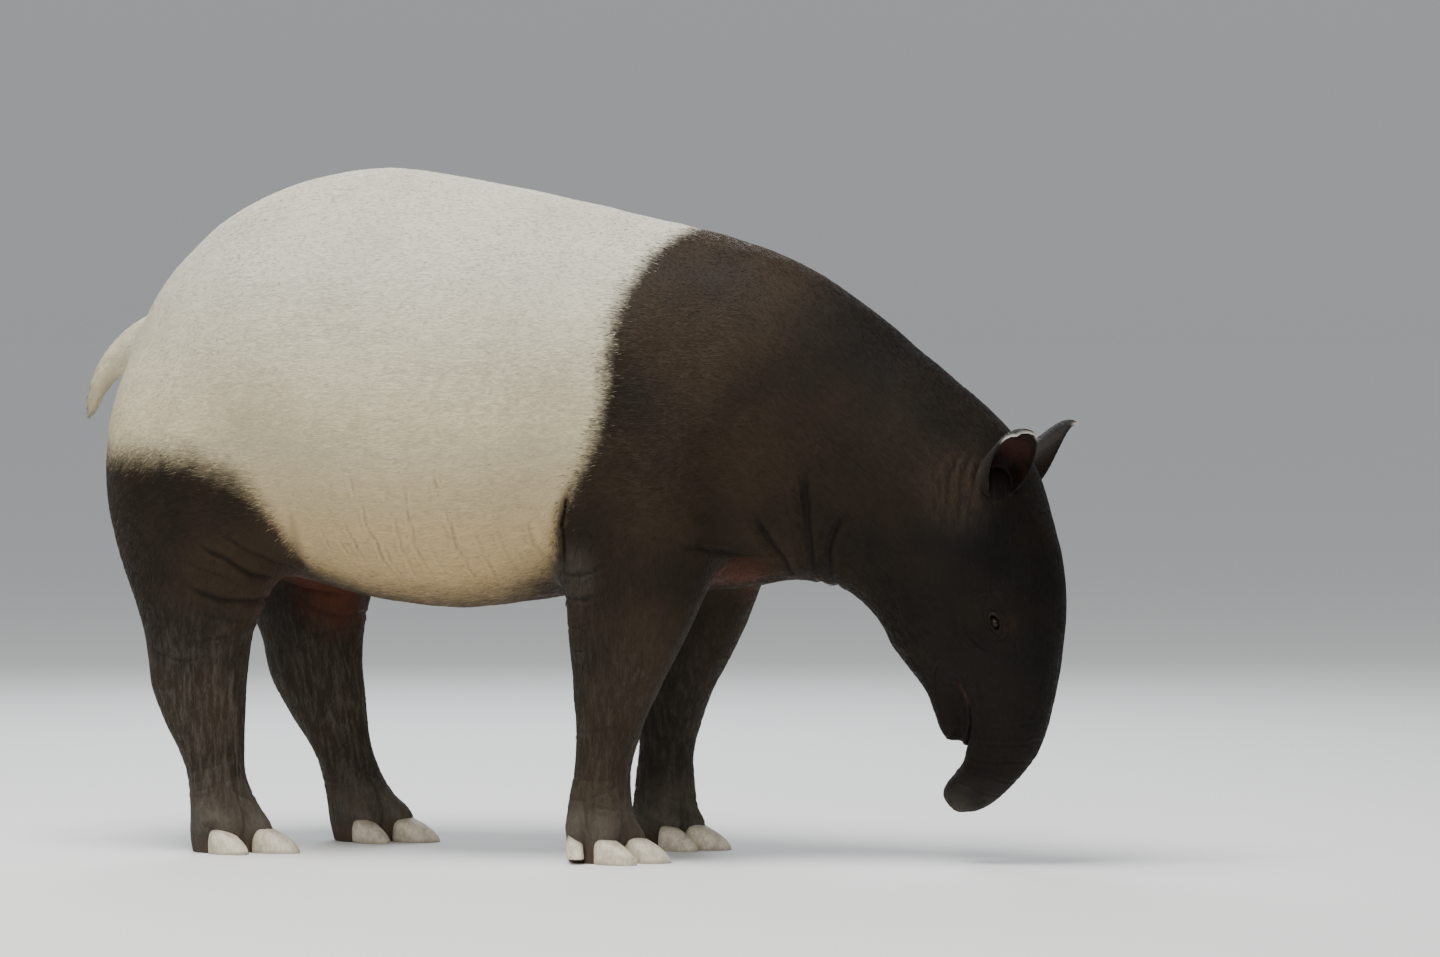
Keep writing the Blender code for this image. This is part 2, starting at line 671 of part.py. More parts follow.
def parted(body):
    """One object a part, each the largest of the closed surfaces nearest to its middle."""
    best = {}
    for piece in islands(body):
        size = piece.calc_volume(signed=True)
        name = nearest_part(piece)
        if name not in best or best[name][0] < size:
            if name in best:
                best[name][1].free()
            best[name] = (size, piece)
        else:
            piece.free()
    bpy.data.objects.remove(body, do_unlink=True)
    return {name: as_object(name, best[name][1]) for name in PARTS}


def grown(item, reach):
    """A bmesh of an object's surface, moved outwards by reach."""
    body = bmesh.new()
    body.from_mesh(item.data)
    bmesh.ops.triangulate(body, faces=body.faces)
    body.normal_update()
    for vert, normal in [(v, v.normal.copy()) for v in body.verts]:
        vert.co += normal * reach
    return body


def biggest_only(item):
    pieces = sorted(islands(item), key=lambda p: p.calc_volume(signed=True))
    keep = pieces.pop()
    keep.to_mesh(item.data)
    for piece in [*pieces, keep]:
        piece.free()


def finish(item, look, collection):
    """Welds, triangulates and names a part's mesh, and puts it in the model's collection."""
    body = bmesh.new()
    body.from_mesh(item.data)
    bmesh.ops.remove_doubles(body, verts=body.verts, dist=WELD)
    bmesh.ops.dissolve_degenerate(body, edges=body.edges, dist=WELD)
    bmesh.ops.triangulate(body, faces=body.faces)
    body.to_mesh(item.data)
    body.free()
    item.data.name = item.name
    item.data.materials.clear()
    item.data.materials.append(look)
    for old in list(item.users_collection):
        old.objects.unlink(item)
    collection.objects.link(item)


def main():
    clear_scene()
    body = one_skin()
    thin_out(body)
    heads_skin = grown(body, GAP)
    heads_mesh = bpy.data.meshes.new("grown_skin")
    heads_skin.to_mesh(heads_mesh)
    heads_skin.free()

    for side in (-1, 1):
        combine(body, "UNION", lids(side))
    pits = [ball(mirrored(NOSTRIL, side), NOSTRIL_RADII, None, 10, 7) for side in (-1, 1)]
    sockets = []
    socket_radius = EYE_RADIUS + GAP
    for side in (-1, 1):
        sockets.append(ball(eye_centre(side), (socket_radius,) * 3, eye_turn(side), 16, 9))
    openings = [lid_opening(side) for side in (-1, 1)]
    toes = foot_toes()
    combine(body, "DIFFERENCE", join(pits + sockets))
    combine(body, "DIFFERENCE", join(openings))
    # Neighbouring pockets cross, so they are cut one toe of each foot at a time.
    for cut_toe in FORE_TOES:
        pockets = [
            hoof_block(toe, tip, way, GAP) for _, toe, tip, way in toes if toe.name == cut_toe.name
        ]
        combine(body, "DIFFERENCE", join(pockets))
    combine(body, "DIFFERENCE", box((15, 0, -15), (1, 0, 0), (0, 0, 1), (260, 120, 30)))
    cuts = [
        box(middle, through, up, (GAP, sizes[0], sizes[1]))
        for middle, through, up, sizes in CUTS
    ]
    combine(body, "DIFFERENCE", join(cuts))
    combine(body, "DIFFERENCE", plate(MOUTH_LINE, MOUTH_WIDTHS, 16.0))

    parts = parted(body)
    for name, side in (("ear_right", -1), ("ear_left", 1)):
        ear = as_object(name, ear_leaf(side, EAR_THICKNESS))
        under = bmesh.new()
        under.from_mesh(heads_mesh)
        combine(ear, "DIFFERENCE", under)
        biggest_only(ear)
        parts[name] = ear
    bpy.data.meshes.remove(heads_mesh)
    for name, side in (("eye_right", -1), ("eye_left", 1)):
        parts[name] = as_object(
            name, ball(eye_centre(side), (EYE_RADIUS,) * 3, eye_turn(side), 16, 9)
        )
    for foot, toe, tip, way in toes:
        name = f"hoof_{foot}_{toe.name}"
        parts[name] = as_object(name, flat_soled(hoof_block(toe, tip, way, 0.0), toe.lift))

    model = bpy.data.collections.new("malayan_tapir")
    bpy.context.scene.collection.children.link(model)
    low = np.full(3, np.inf)
    high = np.full(3, -np.inf)
    for name, item in parts.items():
        if name.startswith("eye"):
            look = material(f"{name}_look", EYE_DARK, 0.08)
        elif name.startswith("hoof"):
            look = material(f"{name}_look", HORN, 0.55)
        elif name in ("torso", "hindquarters", "tail"):
            look = material(f"{name}_look", HIDE_WHITE, 0.8)
        else:
            look = material(f"{name}_look", HIDE_BLACK, 0.7)
        finish(item, look, model)
        points = np.array([v.co for v in item.data.vertices])
        low = np.minimum(low, points.min(axis=0))
        high = np.maximum(high, points.max(axis=0))

    # The model's box stands on the origin, with its middle over it.
    home = Matrix.Translation((-(low[0] + high[0]) / 2, -(low[1] + high[1]) / 2, -low[2]))
    for item in parts.values():
        item.data.transform(Matrix.Scale(CM, 4) @ home)


main()
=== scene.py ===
"""The looks of a Malayan tapir: one skin, a short coat, eyes and hooves, on a studio floor.

Sizes are in centimetres in the design's own frame, whose X = 0 lies under the saddle. The whole is
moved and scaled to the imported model's frame, in metres, when each piece is made.
"""

import math
from collections import namedtuple

import bmesh
import bpy
import numpy as np
from mathutils import Matrix, Vector
from mathutils.bvhtree import BVHTree


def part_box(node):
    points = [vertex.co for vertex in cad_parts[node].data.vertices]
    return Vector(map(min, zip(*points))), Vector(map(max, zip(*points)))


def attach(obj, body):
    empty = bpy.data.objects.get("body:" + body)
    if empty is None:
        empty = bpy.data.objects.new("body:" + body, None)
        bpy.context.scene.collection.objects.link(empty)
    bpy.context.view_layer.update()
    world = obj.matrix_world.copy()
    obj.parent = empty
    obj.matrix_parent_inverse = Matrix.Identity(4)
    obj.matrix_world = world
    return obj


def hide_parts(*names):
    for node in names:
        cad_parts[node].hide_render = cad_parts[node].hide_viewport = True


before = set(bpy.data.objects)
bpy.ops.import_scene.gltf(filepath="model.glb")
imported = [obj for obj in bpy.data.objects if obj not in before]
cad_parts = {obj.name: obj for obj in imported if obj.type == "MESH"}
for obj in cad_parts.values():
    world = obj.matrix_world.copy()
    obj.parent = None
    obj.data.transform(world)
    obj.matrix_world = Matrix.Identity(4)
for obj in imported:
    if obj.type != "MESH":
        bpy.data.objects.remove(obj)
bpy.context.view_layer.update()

RUMP_HEIGHT = 1.08
CM = RUMP_HEIGHT / 108.0

# The body's shape, the same as in the part's source.
VOXEL = 0.9
BLEND_REACH = 10.0
BLEND_ROUNDS = 110
SOFTEN_ROUNDS = 6

# One slice across a body: its two ends in the side plane, and how wide it is between them.
# bulge moves the widest place towards the back or belly end, and square above 2 fills the corners.
Slice = namedtuple("Slice", "front back half side bulge square", defaults=(0.0, 0.0, 2.0))


def slice_rows(*rows):
    return [Slice(row[:2], row[2:4], *row[4:]) for row in rows]


BODY_SLICES = slice_rows(
    (-62.0, 71.5, -62.0, 67.0, 2.4), (-60.8, 76.5, -60.8, 62.0, 6.4), (-58.6, 82.0, -58.2, 57.0, 10.6),
    (-54.5, 89.6, -54.0, 52.0, 15.6, 0, 0.02), (-47.0, 97.9, -47.0, 47.5, 20.0, 0, 0.05),
    (-38.0, 103.6, -38.0, 44.5, 23.4, 0, 0.08), (-27.0, 107.2, -27.0, 41.6, 26.2, 0, 0.12),
    (-15.0, 108.2, -15.0, 39.3, 28.0, 0, 0.16, 2.1), (-4.0, 106.7, -4.0, 38.4, 28.4, 0, 0.18, 2.15),
    (8.0, 104.3, 8.0, 39.8, 27.0, 0, 0.16, 2.15), (19.0, 101.8, 18.5, 41.4, 23.8, 0, 0.10, 2.1),
    (30.0, 99.5, 29.0, 41.8, 20.8, 0, 0.06), (41.0, 96.8, 38.0, 41.6, 18.2, 0, 0.04),
    (51.6, 92.7, 44.5, 42.2, 15.8, 0, 0.03), (61.3, 86.9, 50.0, 43.3, 13.8, 0, 0.03),
    (70.4, 79.6, 54.3, 43.2, 12.5, 0, 0.04), (79.0, 72.4, 58.0, 42.3, 11.8, 0, 0.05),
    (85.6, 66.3, 61.0, 40.4, 11.3, 0, 0.06), (89.4, 61.0, 63.5, 38.2, 11.1, 0, 0.08),
    (91.8, 54.0, 65.2, 35.8, 11.0, 0, 0.10), (93.3, 47.0, 66.6, 33.0, 10.5, 0, 0.12),
    (93.8, 40.5, 69.4, 30.6, 9.5, 0, 0.12), (93.5, 34.5, 73.2, 28.4, 7.9, 0, 0.10),
    (92.9, 29.5, 76.6, 26.0, 6.5, 0, 0.06), (91.9, 25.0, 77.9, 22.8, 5.6, 0, 0.03),
    (90.9, 21.2, 78.3, 19.6, 5.0), (89.2, 17.0, 77.8, 16.8, 4.5), (86.4, 13.0, 76.4, 14.4, 4.2),
    (83.0, 9.9, 74.9, 12.9, 4.0, 0, 0, 2.1), (79.6, 8.0, 74.2, 11.6, 3.7, 0, 0, 2.2),
    (76.9, 7.6, 74.4, 10.1, 3.0, 0, 0, 2.2),
)

JAW_SLICES = slice_rows(
    (83.0, 38.0, 66.5, 33.0, 8.0), (80.6, 31.0, 69.4, 29.2, 6.2), (79.4, 26.2, 71.6, 26.2, 4.8),
    (78.7, 22.8, 73.0, 22.4, 4.0), (78.0, 20.2, 74.3, 19.6, 3.1), (77.2, 18.9, 75.2, 18.5, 1.8),
)

FORE_LEG_SLICES = slice_rows(
    (36.0, 90.0, 24.0, 90.0, 4.0, 8.0), (41.0, 80.0, 19.5, 82.0, 7.0, 10.8),
    (43.6, 68.0, 16.8, 72.0, 8.8, 12.2), (43.4, 56.0, 16.4, 60.0, 9.2, 12.6),
    (42.0, 46.0, 16.8, 49.0, 8.6, 12.8), (38.6, 38.0, 17.2, 39.5, 7.6, 13.2),
    (34.8, 31.0, 18.2, 31.0, 6.6, 13.6), (31.6, 25.0, 18.6, 25.0, 5.9, 13.8),
    (29.3, 19.5, 19.1, 19.5, 5.3, 14.0), (28.1, 14.6, 18.8, 14.2, 4.9, 14.2),
    (28.2, 10.6, 18.2, 10.0, 5.0, 14.3), (28.6, 6.8, 17.8, 6.0, 5.2, 14.4),
    (27.4, 3.2, 17.8, 3.0, 5.0, 14.4), (26.4, -1.4, 18.2, -1.4, 4.8, 14.4),
)

HIND_LEG_SLICES = slice_rows(
    (-37.0, 94.0, -50.0, 88.0, 4.0, 8.0), (-31.0, 84.0, -56.5, 79.0, 8.6, 10.0),
    (-27.4, 72.0, -60.0, 68.0, 11.2, 11.6), (-26.0, 60.0, -60.0, 56.0, 11.4, 12.6),
    (-27.0, 50.0, -57.4, 46.0, 9.8, 13.2), (-31.2, 42.6, -54.6, 39.0, 8.0, 13.6),
    (-34.8, 35.0, -52.8, 32.5, 6.6, 13.8), (-36.0, 28.2, -51.8, 26.6, 5.7, 13.8),
    (-36.3, 22.6, -50.2, 21.0, 5.0, 13.8), (-36.6, 17.0, -47.5, 16.0, 4.6, 13.8),
    (-36.2, 12.6, -46.0, 12.0, 4.5, 13.8), (-34.9, 9.2, -45.5, 8.0, 4.8, 13.8),
    (-33.2, 6.2, -45.6, 5.0, 5.0, 13.8), (-34.0, 3.0, -45.6, 2.2, 5.0, 13.8),
    (-35.0, -1.4, -45.0, -1.4, 4.9, 13.8),
)

TAIL_SLICES = slice_rows(
    (-55.0, 86.6, -54.0, 78.8, 3.4), (-60.8, 84.0, -58.8, 77.2, 3.1), (-65.2, 80.2, -62.6, 75.2, 2.6),
    (-68.2, 75.8, -65.6, 72.6, 2.1), (-69.6, 71.4, -67.0, 69.8, 1.6), (-69.7, 68.4, -68.1, 67.6, 0.9),
)

HIND_STRIDE = 13.2
FORE_STRIDE = 1.0
HIP_HEIGHT = 88.0

FOOT_Y = 14.4
HIND_FOOT_Y = 13.8

Toe = namedtuple("Toe", "name ahead outside turn length width height lift", defaults=(0.0,))
FORE_FOOT_X = 23.4
FORE_TOES = [
    Toe("third", 11.2, -0.8, 0, 7.9, 5.2, 5.2),
    Toe("fourth", 7.4, 5.2, 14, 7.5, 4.8, 5.3),
    Toe("second", 7.0, -5.7, -14, 7.0, 4.5, 5.0),
    Toe("fifth", -1.4, 7.2, 60, 3.9, 2.8, 4.6, 0.8),
]
HOOF_SQUARE = 0.8
# How far each hoof leans back for its height, its height up and down from its middle, and how
# high that middle stands, each as a share of the toe's height.
HOOF_SLOPE = 0.75
HOOF_ABOVE = 0.80
HOOF_MIDDLE = 0.20
# The toe's flesh: how steeply it dips, how far back and up its middle stands, and its radii, as
# shares of the toe's length, height and width.
FLESH_DIP = 33
FLESH_BACK = 1.02
FLESH_RISE = 1.04
FLESH_RADII = (0.60, 0.52, 0.44)
HIND_FOOT_X = -39.2
HIND_TOES = [
    Toe("third", 12.2, 0.0, 0, 8.2, 5.3, 5.1),
    Toe("fourth", 5.6, 5.7, 16, 7.4, 4.6, 5.1),
    Toe("second", 5.6, -5.7, -16, 7.0, 4.5, 5.0),
]

EYE_RADIUS = 1.4
EYE_X = 84.7
EYE_Y = 7.75
EYE_Z = 37.6
EYE_LOOK = (0.22, 0.97, 0.05)
LID_SLANT = math.radians(68)

EAR_ROOT = (85.2, 7.6, 57.0)
EAR_LINES = {-1: (0.49, 0.58, 0.60), 1: (0.65, 0.50, 0.84)}
EAR_FACES = {-1: (0.55, 0.53, -0.50), 1: (0.45, 0.22, -0.20)}
EAR_LENGTH = 13.7
EAR_HALF_WIDTH = 3.6
EAR_THICKNESS = 0.62
EAR_WIDEST = 0.56
EAR_ROOT_WIDTH = 0.66
EAR_TIP_ROLL = 42
EAR_ROOT_ROLL = 106
EAR_TIP_ROUND = 0.40
EAR_VOXEL = 0.16
# Where the rim turns white, from the ear's root at 0 to its tip at 1.
EAR_WHITE_RISE = {-1: (0.79, 0.93), 1: (0.88, 0.97)}
# How far behind its root, against the way it faces, the middle of the ear's tube lies.
EAR_TUBE_DEEP = -1.79

CHEEK = ((76.5, 6.2, 40.5), (8.2, 4.6, 8.8))
BROW = ((84.8, 7.0, 41.2), (3.4, 2.4, 3.2))
ELBOW = ((21.0, 15.4, 44.0), (4.0, 3.6, 5.4))

MOUTH_LINE = [
    (76.2, 14.9), (77.6, 17.0), (78.9, 19.6), (79.6, 22.6), (79.4, 25.6), (78.2, 28.4), (77.4, 29.6),
]
NOSTRIL = (75.3, 1.35, 8.5)


def smooth_rows(rows, places, steps):
    """Rows of numbers with steps - 1 more between each two, on curves through them."""
    rows = np.array(rows, float)
    gaps = np.maximum(np.linalg.norm(np.diff(np.array(places, float), axis=0), axis=1), 1e-6)
    pace = np.diff(rows, axis=0) / gaps[:, None]
    slope = np.empty_like(rows)
    slope[0], slope[-1] = pace[0], pace[-1]
    before, after = gaps[:-1, None], gaps[1:, None]
    slope[1:-1] = (pace[:-1] * after + pace[1:] * before) / (before + after)
    found = []
    for i, gap in enumerate(gaps):
        for t in np.arange(steps) / steps:
            found.append(
                (2 * t**3 - 3 * t**2 + 1) * rows[i]
                + (t**3 - 2 * t**2 + t) * gap * slope[i]
                + (3 * t**2 - 2 * t**3) * rows[i + 1]
                + (t**3 - t**2) * gap * slope[i + 1]
            )
    return np.array(found + [rows[-1]])


def loft(slices, around, steps=5):
    """A closed bmesh through smooth slices between the ones given."""
    rows = [(*s.front, *s.back, s.half, s.side, s.bulge, s.square) for s in slices]
    places = [((s.front[0] + s.back[0]) / 2, (s.front[1] + s.back[1]) / 2) for s in slices]
    body = bmesh.new()
    rings = []
    for fx, fz, bx, bz, half, side, bulge, square in smooth_rows(rows, places, steps):
        ring = []
        for k in range(around):
            turn = 2 * math.pi * k / around
            up = math.copysign(abs(math.sin(turn)) ** (2 / square), math.sin(turn))
            out = math.copysign(abs(math.cos(turn)) ** (2 / square), math.cos(turn))
            x = (fx + bx) / 2 + (fx - bx) / 2 * up
            z = (fz + bz) / 2 + (fz - bz) / 2 * up
            ring.append(body.verts.new((x, side + half * out * (1 - bulge * up), z)))
        rings.append(ring)
    for low, high in zip(rings, rings[1:]):
        for k in range(around):
            body.faces.new((low[k], low[(k + 1) % around], high[(k + 1) % around], high[k]))
    body.faces.new(rings[0])
    body.faces.new(rings[-1])
    bmesh.ops.recalc_face_normals(body, faces=body.faces)
    return body


def on_right(slices):
    return [s._replace(side=-s.side) for s in slices]


def swung(slices, stride):
    """A leg's slices moved forward, by nothing at the hip and by stride at the floor."""
    moved = []
    for s in slices:
        fx = s.front[0] + stride * max(0.0, HIP_HEIGHT - s.front[1]) / HIP_HEIGHT
        bx = s.back[0] + stride * max(0.0, HIP_HEIGHT - s.back[1]) / HIP_HEIGHT
        moved.append(s._replace(front=(fx, s.front[1]), back=(bx, s.back[1])))
    return moved


def ball(centre, radii, turn=None, segments=16, rings=10):
    """A closed ellipsoid bmesh, turned by a matrix about its centre."""
    body = bmesh.new()
    place = Matrix.Translation(Vector(centre))
    if turn is not None:
        place = place @ turn.to_4x4()
    place = place @ Matrix.Diagonal((*radii, 1.0))
    bmesh.ops.create_uvsphere(
        body, u_segments=segments, v_segments=rings, radius=1.0, matrix=place
    )
    return body


def in_order(body):
    """The same bmesh with its points and faces in an order that no run changes."""
    body.verts.index_update()
    points = [tuple(vert.co) for vert in body.verts]
    order = sorted(range(len(points)), key=points.__getitem__)
    place = {old: new for new, old in enumerate(order)}
    rings = []
    for face in body.faces:
        ring = [place[vert.index] for vert in face.verts]
        start = ring.index(min(ring))
        rings.append(ring[start:] + ring[:start])
    body.free()
    whole = bmesh.new()
    verts = [whole.verts.new(points[i]) for i in order]
    for ring in sorted(rings):
        whole.faces.new([verts[i] for i in ring])
    whole.normal_update()
    return whole


def join(bodies):
    """One bmesh that holds all of these, which are freed."""
    whole = bmesh.new()
    for body in bodies:
        mesh = bpy.data.meshes.new("piece")
        body.to_mesh(mesh)
        body.free()
        whole.from_mesh(mesh)
        bpy.data.meshes.remove(mesh)
    return whole


def as_object(name, body):
    mesh = bpy.data.meshes.new(name)
    body.to_mesh(mesh)
    body.free()
    found = bpy.data.objects.new(name, mesh)
    bpy.context.scene.collection.objects.link(found)
    return found


def modify(item, kind, **settings):
    """Gives an object a modifier with these settings."""
    made = item.modifiers.new(kind, kind)
    for name, value in settings.items():
        setattr(made, name, value)


def settle(item):
    """Turns an object's modifiers into its mesh."""
    bpy.context.view_layer.update()
    mesh = bpy.data.meshes.new_from_object(
        item.evaluated_get(bpy.context.evaluated_depsgraph_get())
    )
    item.modifiers.clear()
    old = item.data
    item.data = mesh
    bpy.data.meshes.remove(old)


def mirrored(point, side):
    return Vector((point[0], point[1] * side, point[2]))


def foot_toes():
    """Every toe of the four feet as (foot name, toe, tip point, direction)."""
    feet = [
        ("front", FORE_TOES, FORE_FOOT_X, FOOT_Y, FORE_STRIDE),
        ("hind", HIND_TOES, HIND_FOOT_X, HIND_FOOT_Y, HIND_STRIDE),
    ]
    found = []
    for end, toes, foot_x, foot_y, left_stride in feet:
        for side, side_name in ((-1, "right"), (1, "left")):
            x = foot_x + (left_stride if side > 0 else 0.0)
            for toe in toes:
                turn = math.radians(toe.turn)
                way = Vector((math.cos(turn), side * math.sin(turn), 0.0))
                tip = Vector((x + toe.ahead, side * (foot_y + toe.outside), toe.lift))
                found.append((f"{end}_{side_name}", toe, tip, way))
    return found


def toe_flesh(toe, tip, way):
    """The toe above a hoof, from inside the foot to just short of the hoof's tip."""
    side = Vector((0, 0, 1)).cross(way)
    lean = math.radians(FLESH_DIP)
    ahead = (way * math.cos(lean) - Vector((0, 0, 1)) * math.sin(lean)).normalized()
    turn = Matrix((ahead, side, ahead.cross(side))).transposed()
    centre = tip - way * toe.length * FLESH_BACK + Vector((0, 0, toe.height * FLESH_RISE))
    long, wide, tall = FLESH_RADII
    return ball(centre, (toe.length * long, toe.width * wide, toe.height * tall), turn)


def eye_centre(side):
    return Vector((EYE_X, side * EYE_Y, EYE_Z))


def eye_turn(side):
    """A matrix whose Z looks out of the eye, whose X runs along the lids and Y to the brow."""
    look = mirrored(EYE_LOOK, side).normalized()
    across = Vector((0, 0, 1)).cross(look).normalized()
    turn = Matrix((across, look.cross(across), look)).transposed()
    return turn @ Matrix.Rotation(LID_SLANT * side, 3, "Z")


def body_shapes():
    legs = [
        loft(swung(FORE_LEG_SLICES, FORE_STRIDE), 30),
        loft(on_right(FORE_LEG_SLICES), 30),
        loft(swung(HIND_LEG_SLICES, HIND_STRIDE), 30),
        loft(on_right(HIND_LEG_SLICES), 30),
    ]
    trunk = loft(BODY_SLICES, 48)
    extras = [loft(JAW_SLICES, 24), loft(TAIL_SLICES, 20)]
    for side in (-1, 1):
        for middle, radii in (CHEEK, BROW, ELBOW):
            extras.append(ball(mirrored(middle, side), radii))
    for _, toe, tip, way in foot_toes():
        extras.append(toe_flesh(toe, tip, way))
    return trunk, legs, extras


def base_skin():
    """The whole body as one smooth closed mesh of even quads."""
    trunk, legs, extras = body_shapes()
    trunk_tree = BVHTree.FromBMesh(trunk)
    leg_trees = [BVHTree.FromBMesh(leg) for leg in legs]
    body = as_object("skin", join([trunk, *legs, *extras]))
    modify(body, "REMESH", mode="VOXEL", voxel_size=VOXEL)
    settle(body)
    blend = body.vertex_groups.new(name="blend")
    for vert in body.data.vertices:
        off_trunk = trunk_tree.find_nearest(vert.co)[3]
        off_leg = min(tree.find_nearest(vert.co)[3] for tree in leg_trees)
        weight = 1 - max(off_trunk, off_leg) / BLEND_REACH
        if weight > 0:
            blend.add([vert.index], weight, "REPLACE")
    for group, rounds in (("blend", BLEND_ROUNDS), ("", SOFTEN_ROUNDS)):
        modify(body, "SMOOTH", factor=0.5, iterations=rounds, vertex_group=group)
    settle(body)
    body.vertex_groups.clear()
    return body


def read(data, field, width, kind=np.float32):
    """One field of all of a mesh's points, edges or faces, as rows."""
    found = np.empty(len(data) * width, kind)
    data.foreach_get(field, found)
    return found.reshape(-1, width)


def points_of(mesh):
    return read(mesh.vertices, "co", 3).astype(float)


def put_points(mesh, co):
    mesh.vertices.foreach_set("co", co.astype(np.float32).ravel())
    mesh.update()


def normals_of(mesh):
    return read(mesh.vertex_normals, "vector", 3).astype(float)


def edges_of(mesh):
    return read(mesh.edges, "vertices", 2, np.int32)


def store(mesh, name, kind, values):
    """Keeps a number, vector or colour for each point of a mesh."""
    field = {"FLOAT": "value", "FLOAT_VECTOR": "vector", "FLOAT_COLOR": "color"}[kind]
    data = mesh.attributes.new(name, kind, "POINT").data
    data.foreach_set(field, np.asarray(values, np.float32).ravel())


def on_left(co):
    """Points with those of the right side moved to their places on the left."""
    return np.column_stack([co[:, 0], np.abs(co[:, 1]), co[:, 2]])


def off_point(co, point):
    return np.linalg.norm(co - np.array(point), axis=1)


def ramp(values, low, high):
    """0 at low, 1 at high and smooth between them."""
    t = np.clip((values - low) / (high - low), 0, 1)
    return t * t * (3 - 2 * t)


def noise(points, size, seed):
    """Smooth noise from -1 to 1 whose lumps are about size wide."""
    p = points / size
    cell = np.floor(p).astype(np.int64)
    part = p - cell
    part = part * part * (3 - 2 * part)
    found = np.zeros(len(points))
    for corner in range(8):
        step = np.array([corner & 1, corner >> 1 & 1, corner >> 2 & 1])
        at = (cell + step + 4096).astype(np.uint64)
        mixed = at[:, 0] * np.uint64(73856093) ^ at[:, 1] * np.uint64(19349663)
        mixed ^= at[:, 2] * np.uint64(83492791) ^ np.uint64(seed * 2654435761 + 97)
        mixed = (mixed ^ mixed >> np.uint64(13)) * np.uint64(1274126177)
        mixed = (mixed ^ mixed >> np.uint64(16)) & np.uint64(0xFFFFF)
        share = np.prod(np.where(step, part, 1 - part), axis=1)
        found += share * (mixed.astype(float) / 0xFFFFF * 2 - 1)
    return found


def relax(co, edges, weight, rounds):
    """Moves points towards the middle of their neighbours, each by its own weight."""
    used = edges[(weight[edges] > 0).any(axis=1)]
    a = np.concatenate([used[:, 0], used[:, 1]])
    b = np.concatenate([used[:, 1], used[:, 0]])
    moves = weight[a] > 0
    a, b = a[moves], b[moves]
    moving, slot = np.unique(a, return_inverse=True)
    count = np.bincount(slot)[:, None]
    share = weight[moving][:, None]
    for _ in range(rounds):
        near = np.stack([np.bincount(slot, co[b, k]) for k in range(3)], axis=1) / count
        co[moving] += (near - co[moving]) * share
    return co


def refine(item, inside, rounds=3):
    """Halves the edges of a mesh where inside says so, and evens out the points there."""
    chosen = inside(points_of(item.data))
    body = bmesh.new()
    body.from_mesh(item.data)
    edges = [e for e in body.edges if chosen[e.verts[0].index] and chosen[e.verts[1].index]]
    bmesh.ops.subdivide_edges(body, edges=edges, cuts=1, use_grid_fill=True)
    body.to_mesh(item.data)
    body.free()
    co = points_of(item.data)
    weight = inside(co) * 0.5
    put_points(item.data, relax(co, edges_of(item.data), weight, rounds))


def off_the_back(co):
    """True below and ahead of the smooth back and flanks, which need no finer faces."""
    return (co[:, 2] < 60) | (co[:, 0] > 58) | (co[:, 0] < -58)


def on_head_or_feet(co):
    x, _, z = co.T
    return ((x > 70) & (z < 72)) | (z < 10.5)


def off_eye(co):
    """The distance from the nearer eye's middle."""
    return off_point(on_left(co), (EYE_X, EYE_Y, EYE_Z))


def curve(points, steps=8):
    points = np.array(points, float)
    return smooth_rows(points, points, steps)


def off_line(points, line):
    """The distance of points from a line of points, and how far along it each lies, 0 to 1."""
    best = np.full(len(points), np.inf)
    along = np.zeros(len(points))
    lengths = np.linalg.norm(np.diff(line, axis=0), axis=1)
    total = max(lengths.sum(), 1e-9)
    start = 0.0
    for a, b, length in zip(line, line[1:], lengths):
        t = np.clip((points - a) @ (b - a) / max(length**2, 1e-12), 0, 1)
        gap = np.linalg.norm(points - a - t[:, None] * (b - a), axis=1)
        closer = gap < best
        best[closer] = gap[closer]
        along[closer] = ((start + t * length) / total)[closer]
        start += length
    return best, along


MOUTH = curve(MOUTH_LINE)


def on_fine_parts(co):
    """True near the eyes, the mouth, the nostrils and the roots of the ears."""
    flat = co[:, [0, 2]]
    found = off_eye(co) < 4.8
    low = (co[:, 2] < 34) & (co[:, 0] > 70)
    lips = np.zeros(len(co), bool)
    lips[low] = off_line(flat[low], MOUTH)[0] < 1.9
    found |= lips
    found |= (co[:, 2] < 13.5) & (co[:, 0] > 72) & (co[:, 0] < 80)
    found |= off_point(on_left(co), (87.0, 9.4, 59.5)) < 6.0
    return found


def ear_axes(side):
    line = mirrored(EAR_LINES[side], side).normalized()
    face = mirrored(EAR_FACES[side], side)
    face = (face - line * face.dot(line)).normalized()
    return line, face, line.cross(face).normalized()


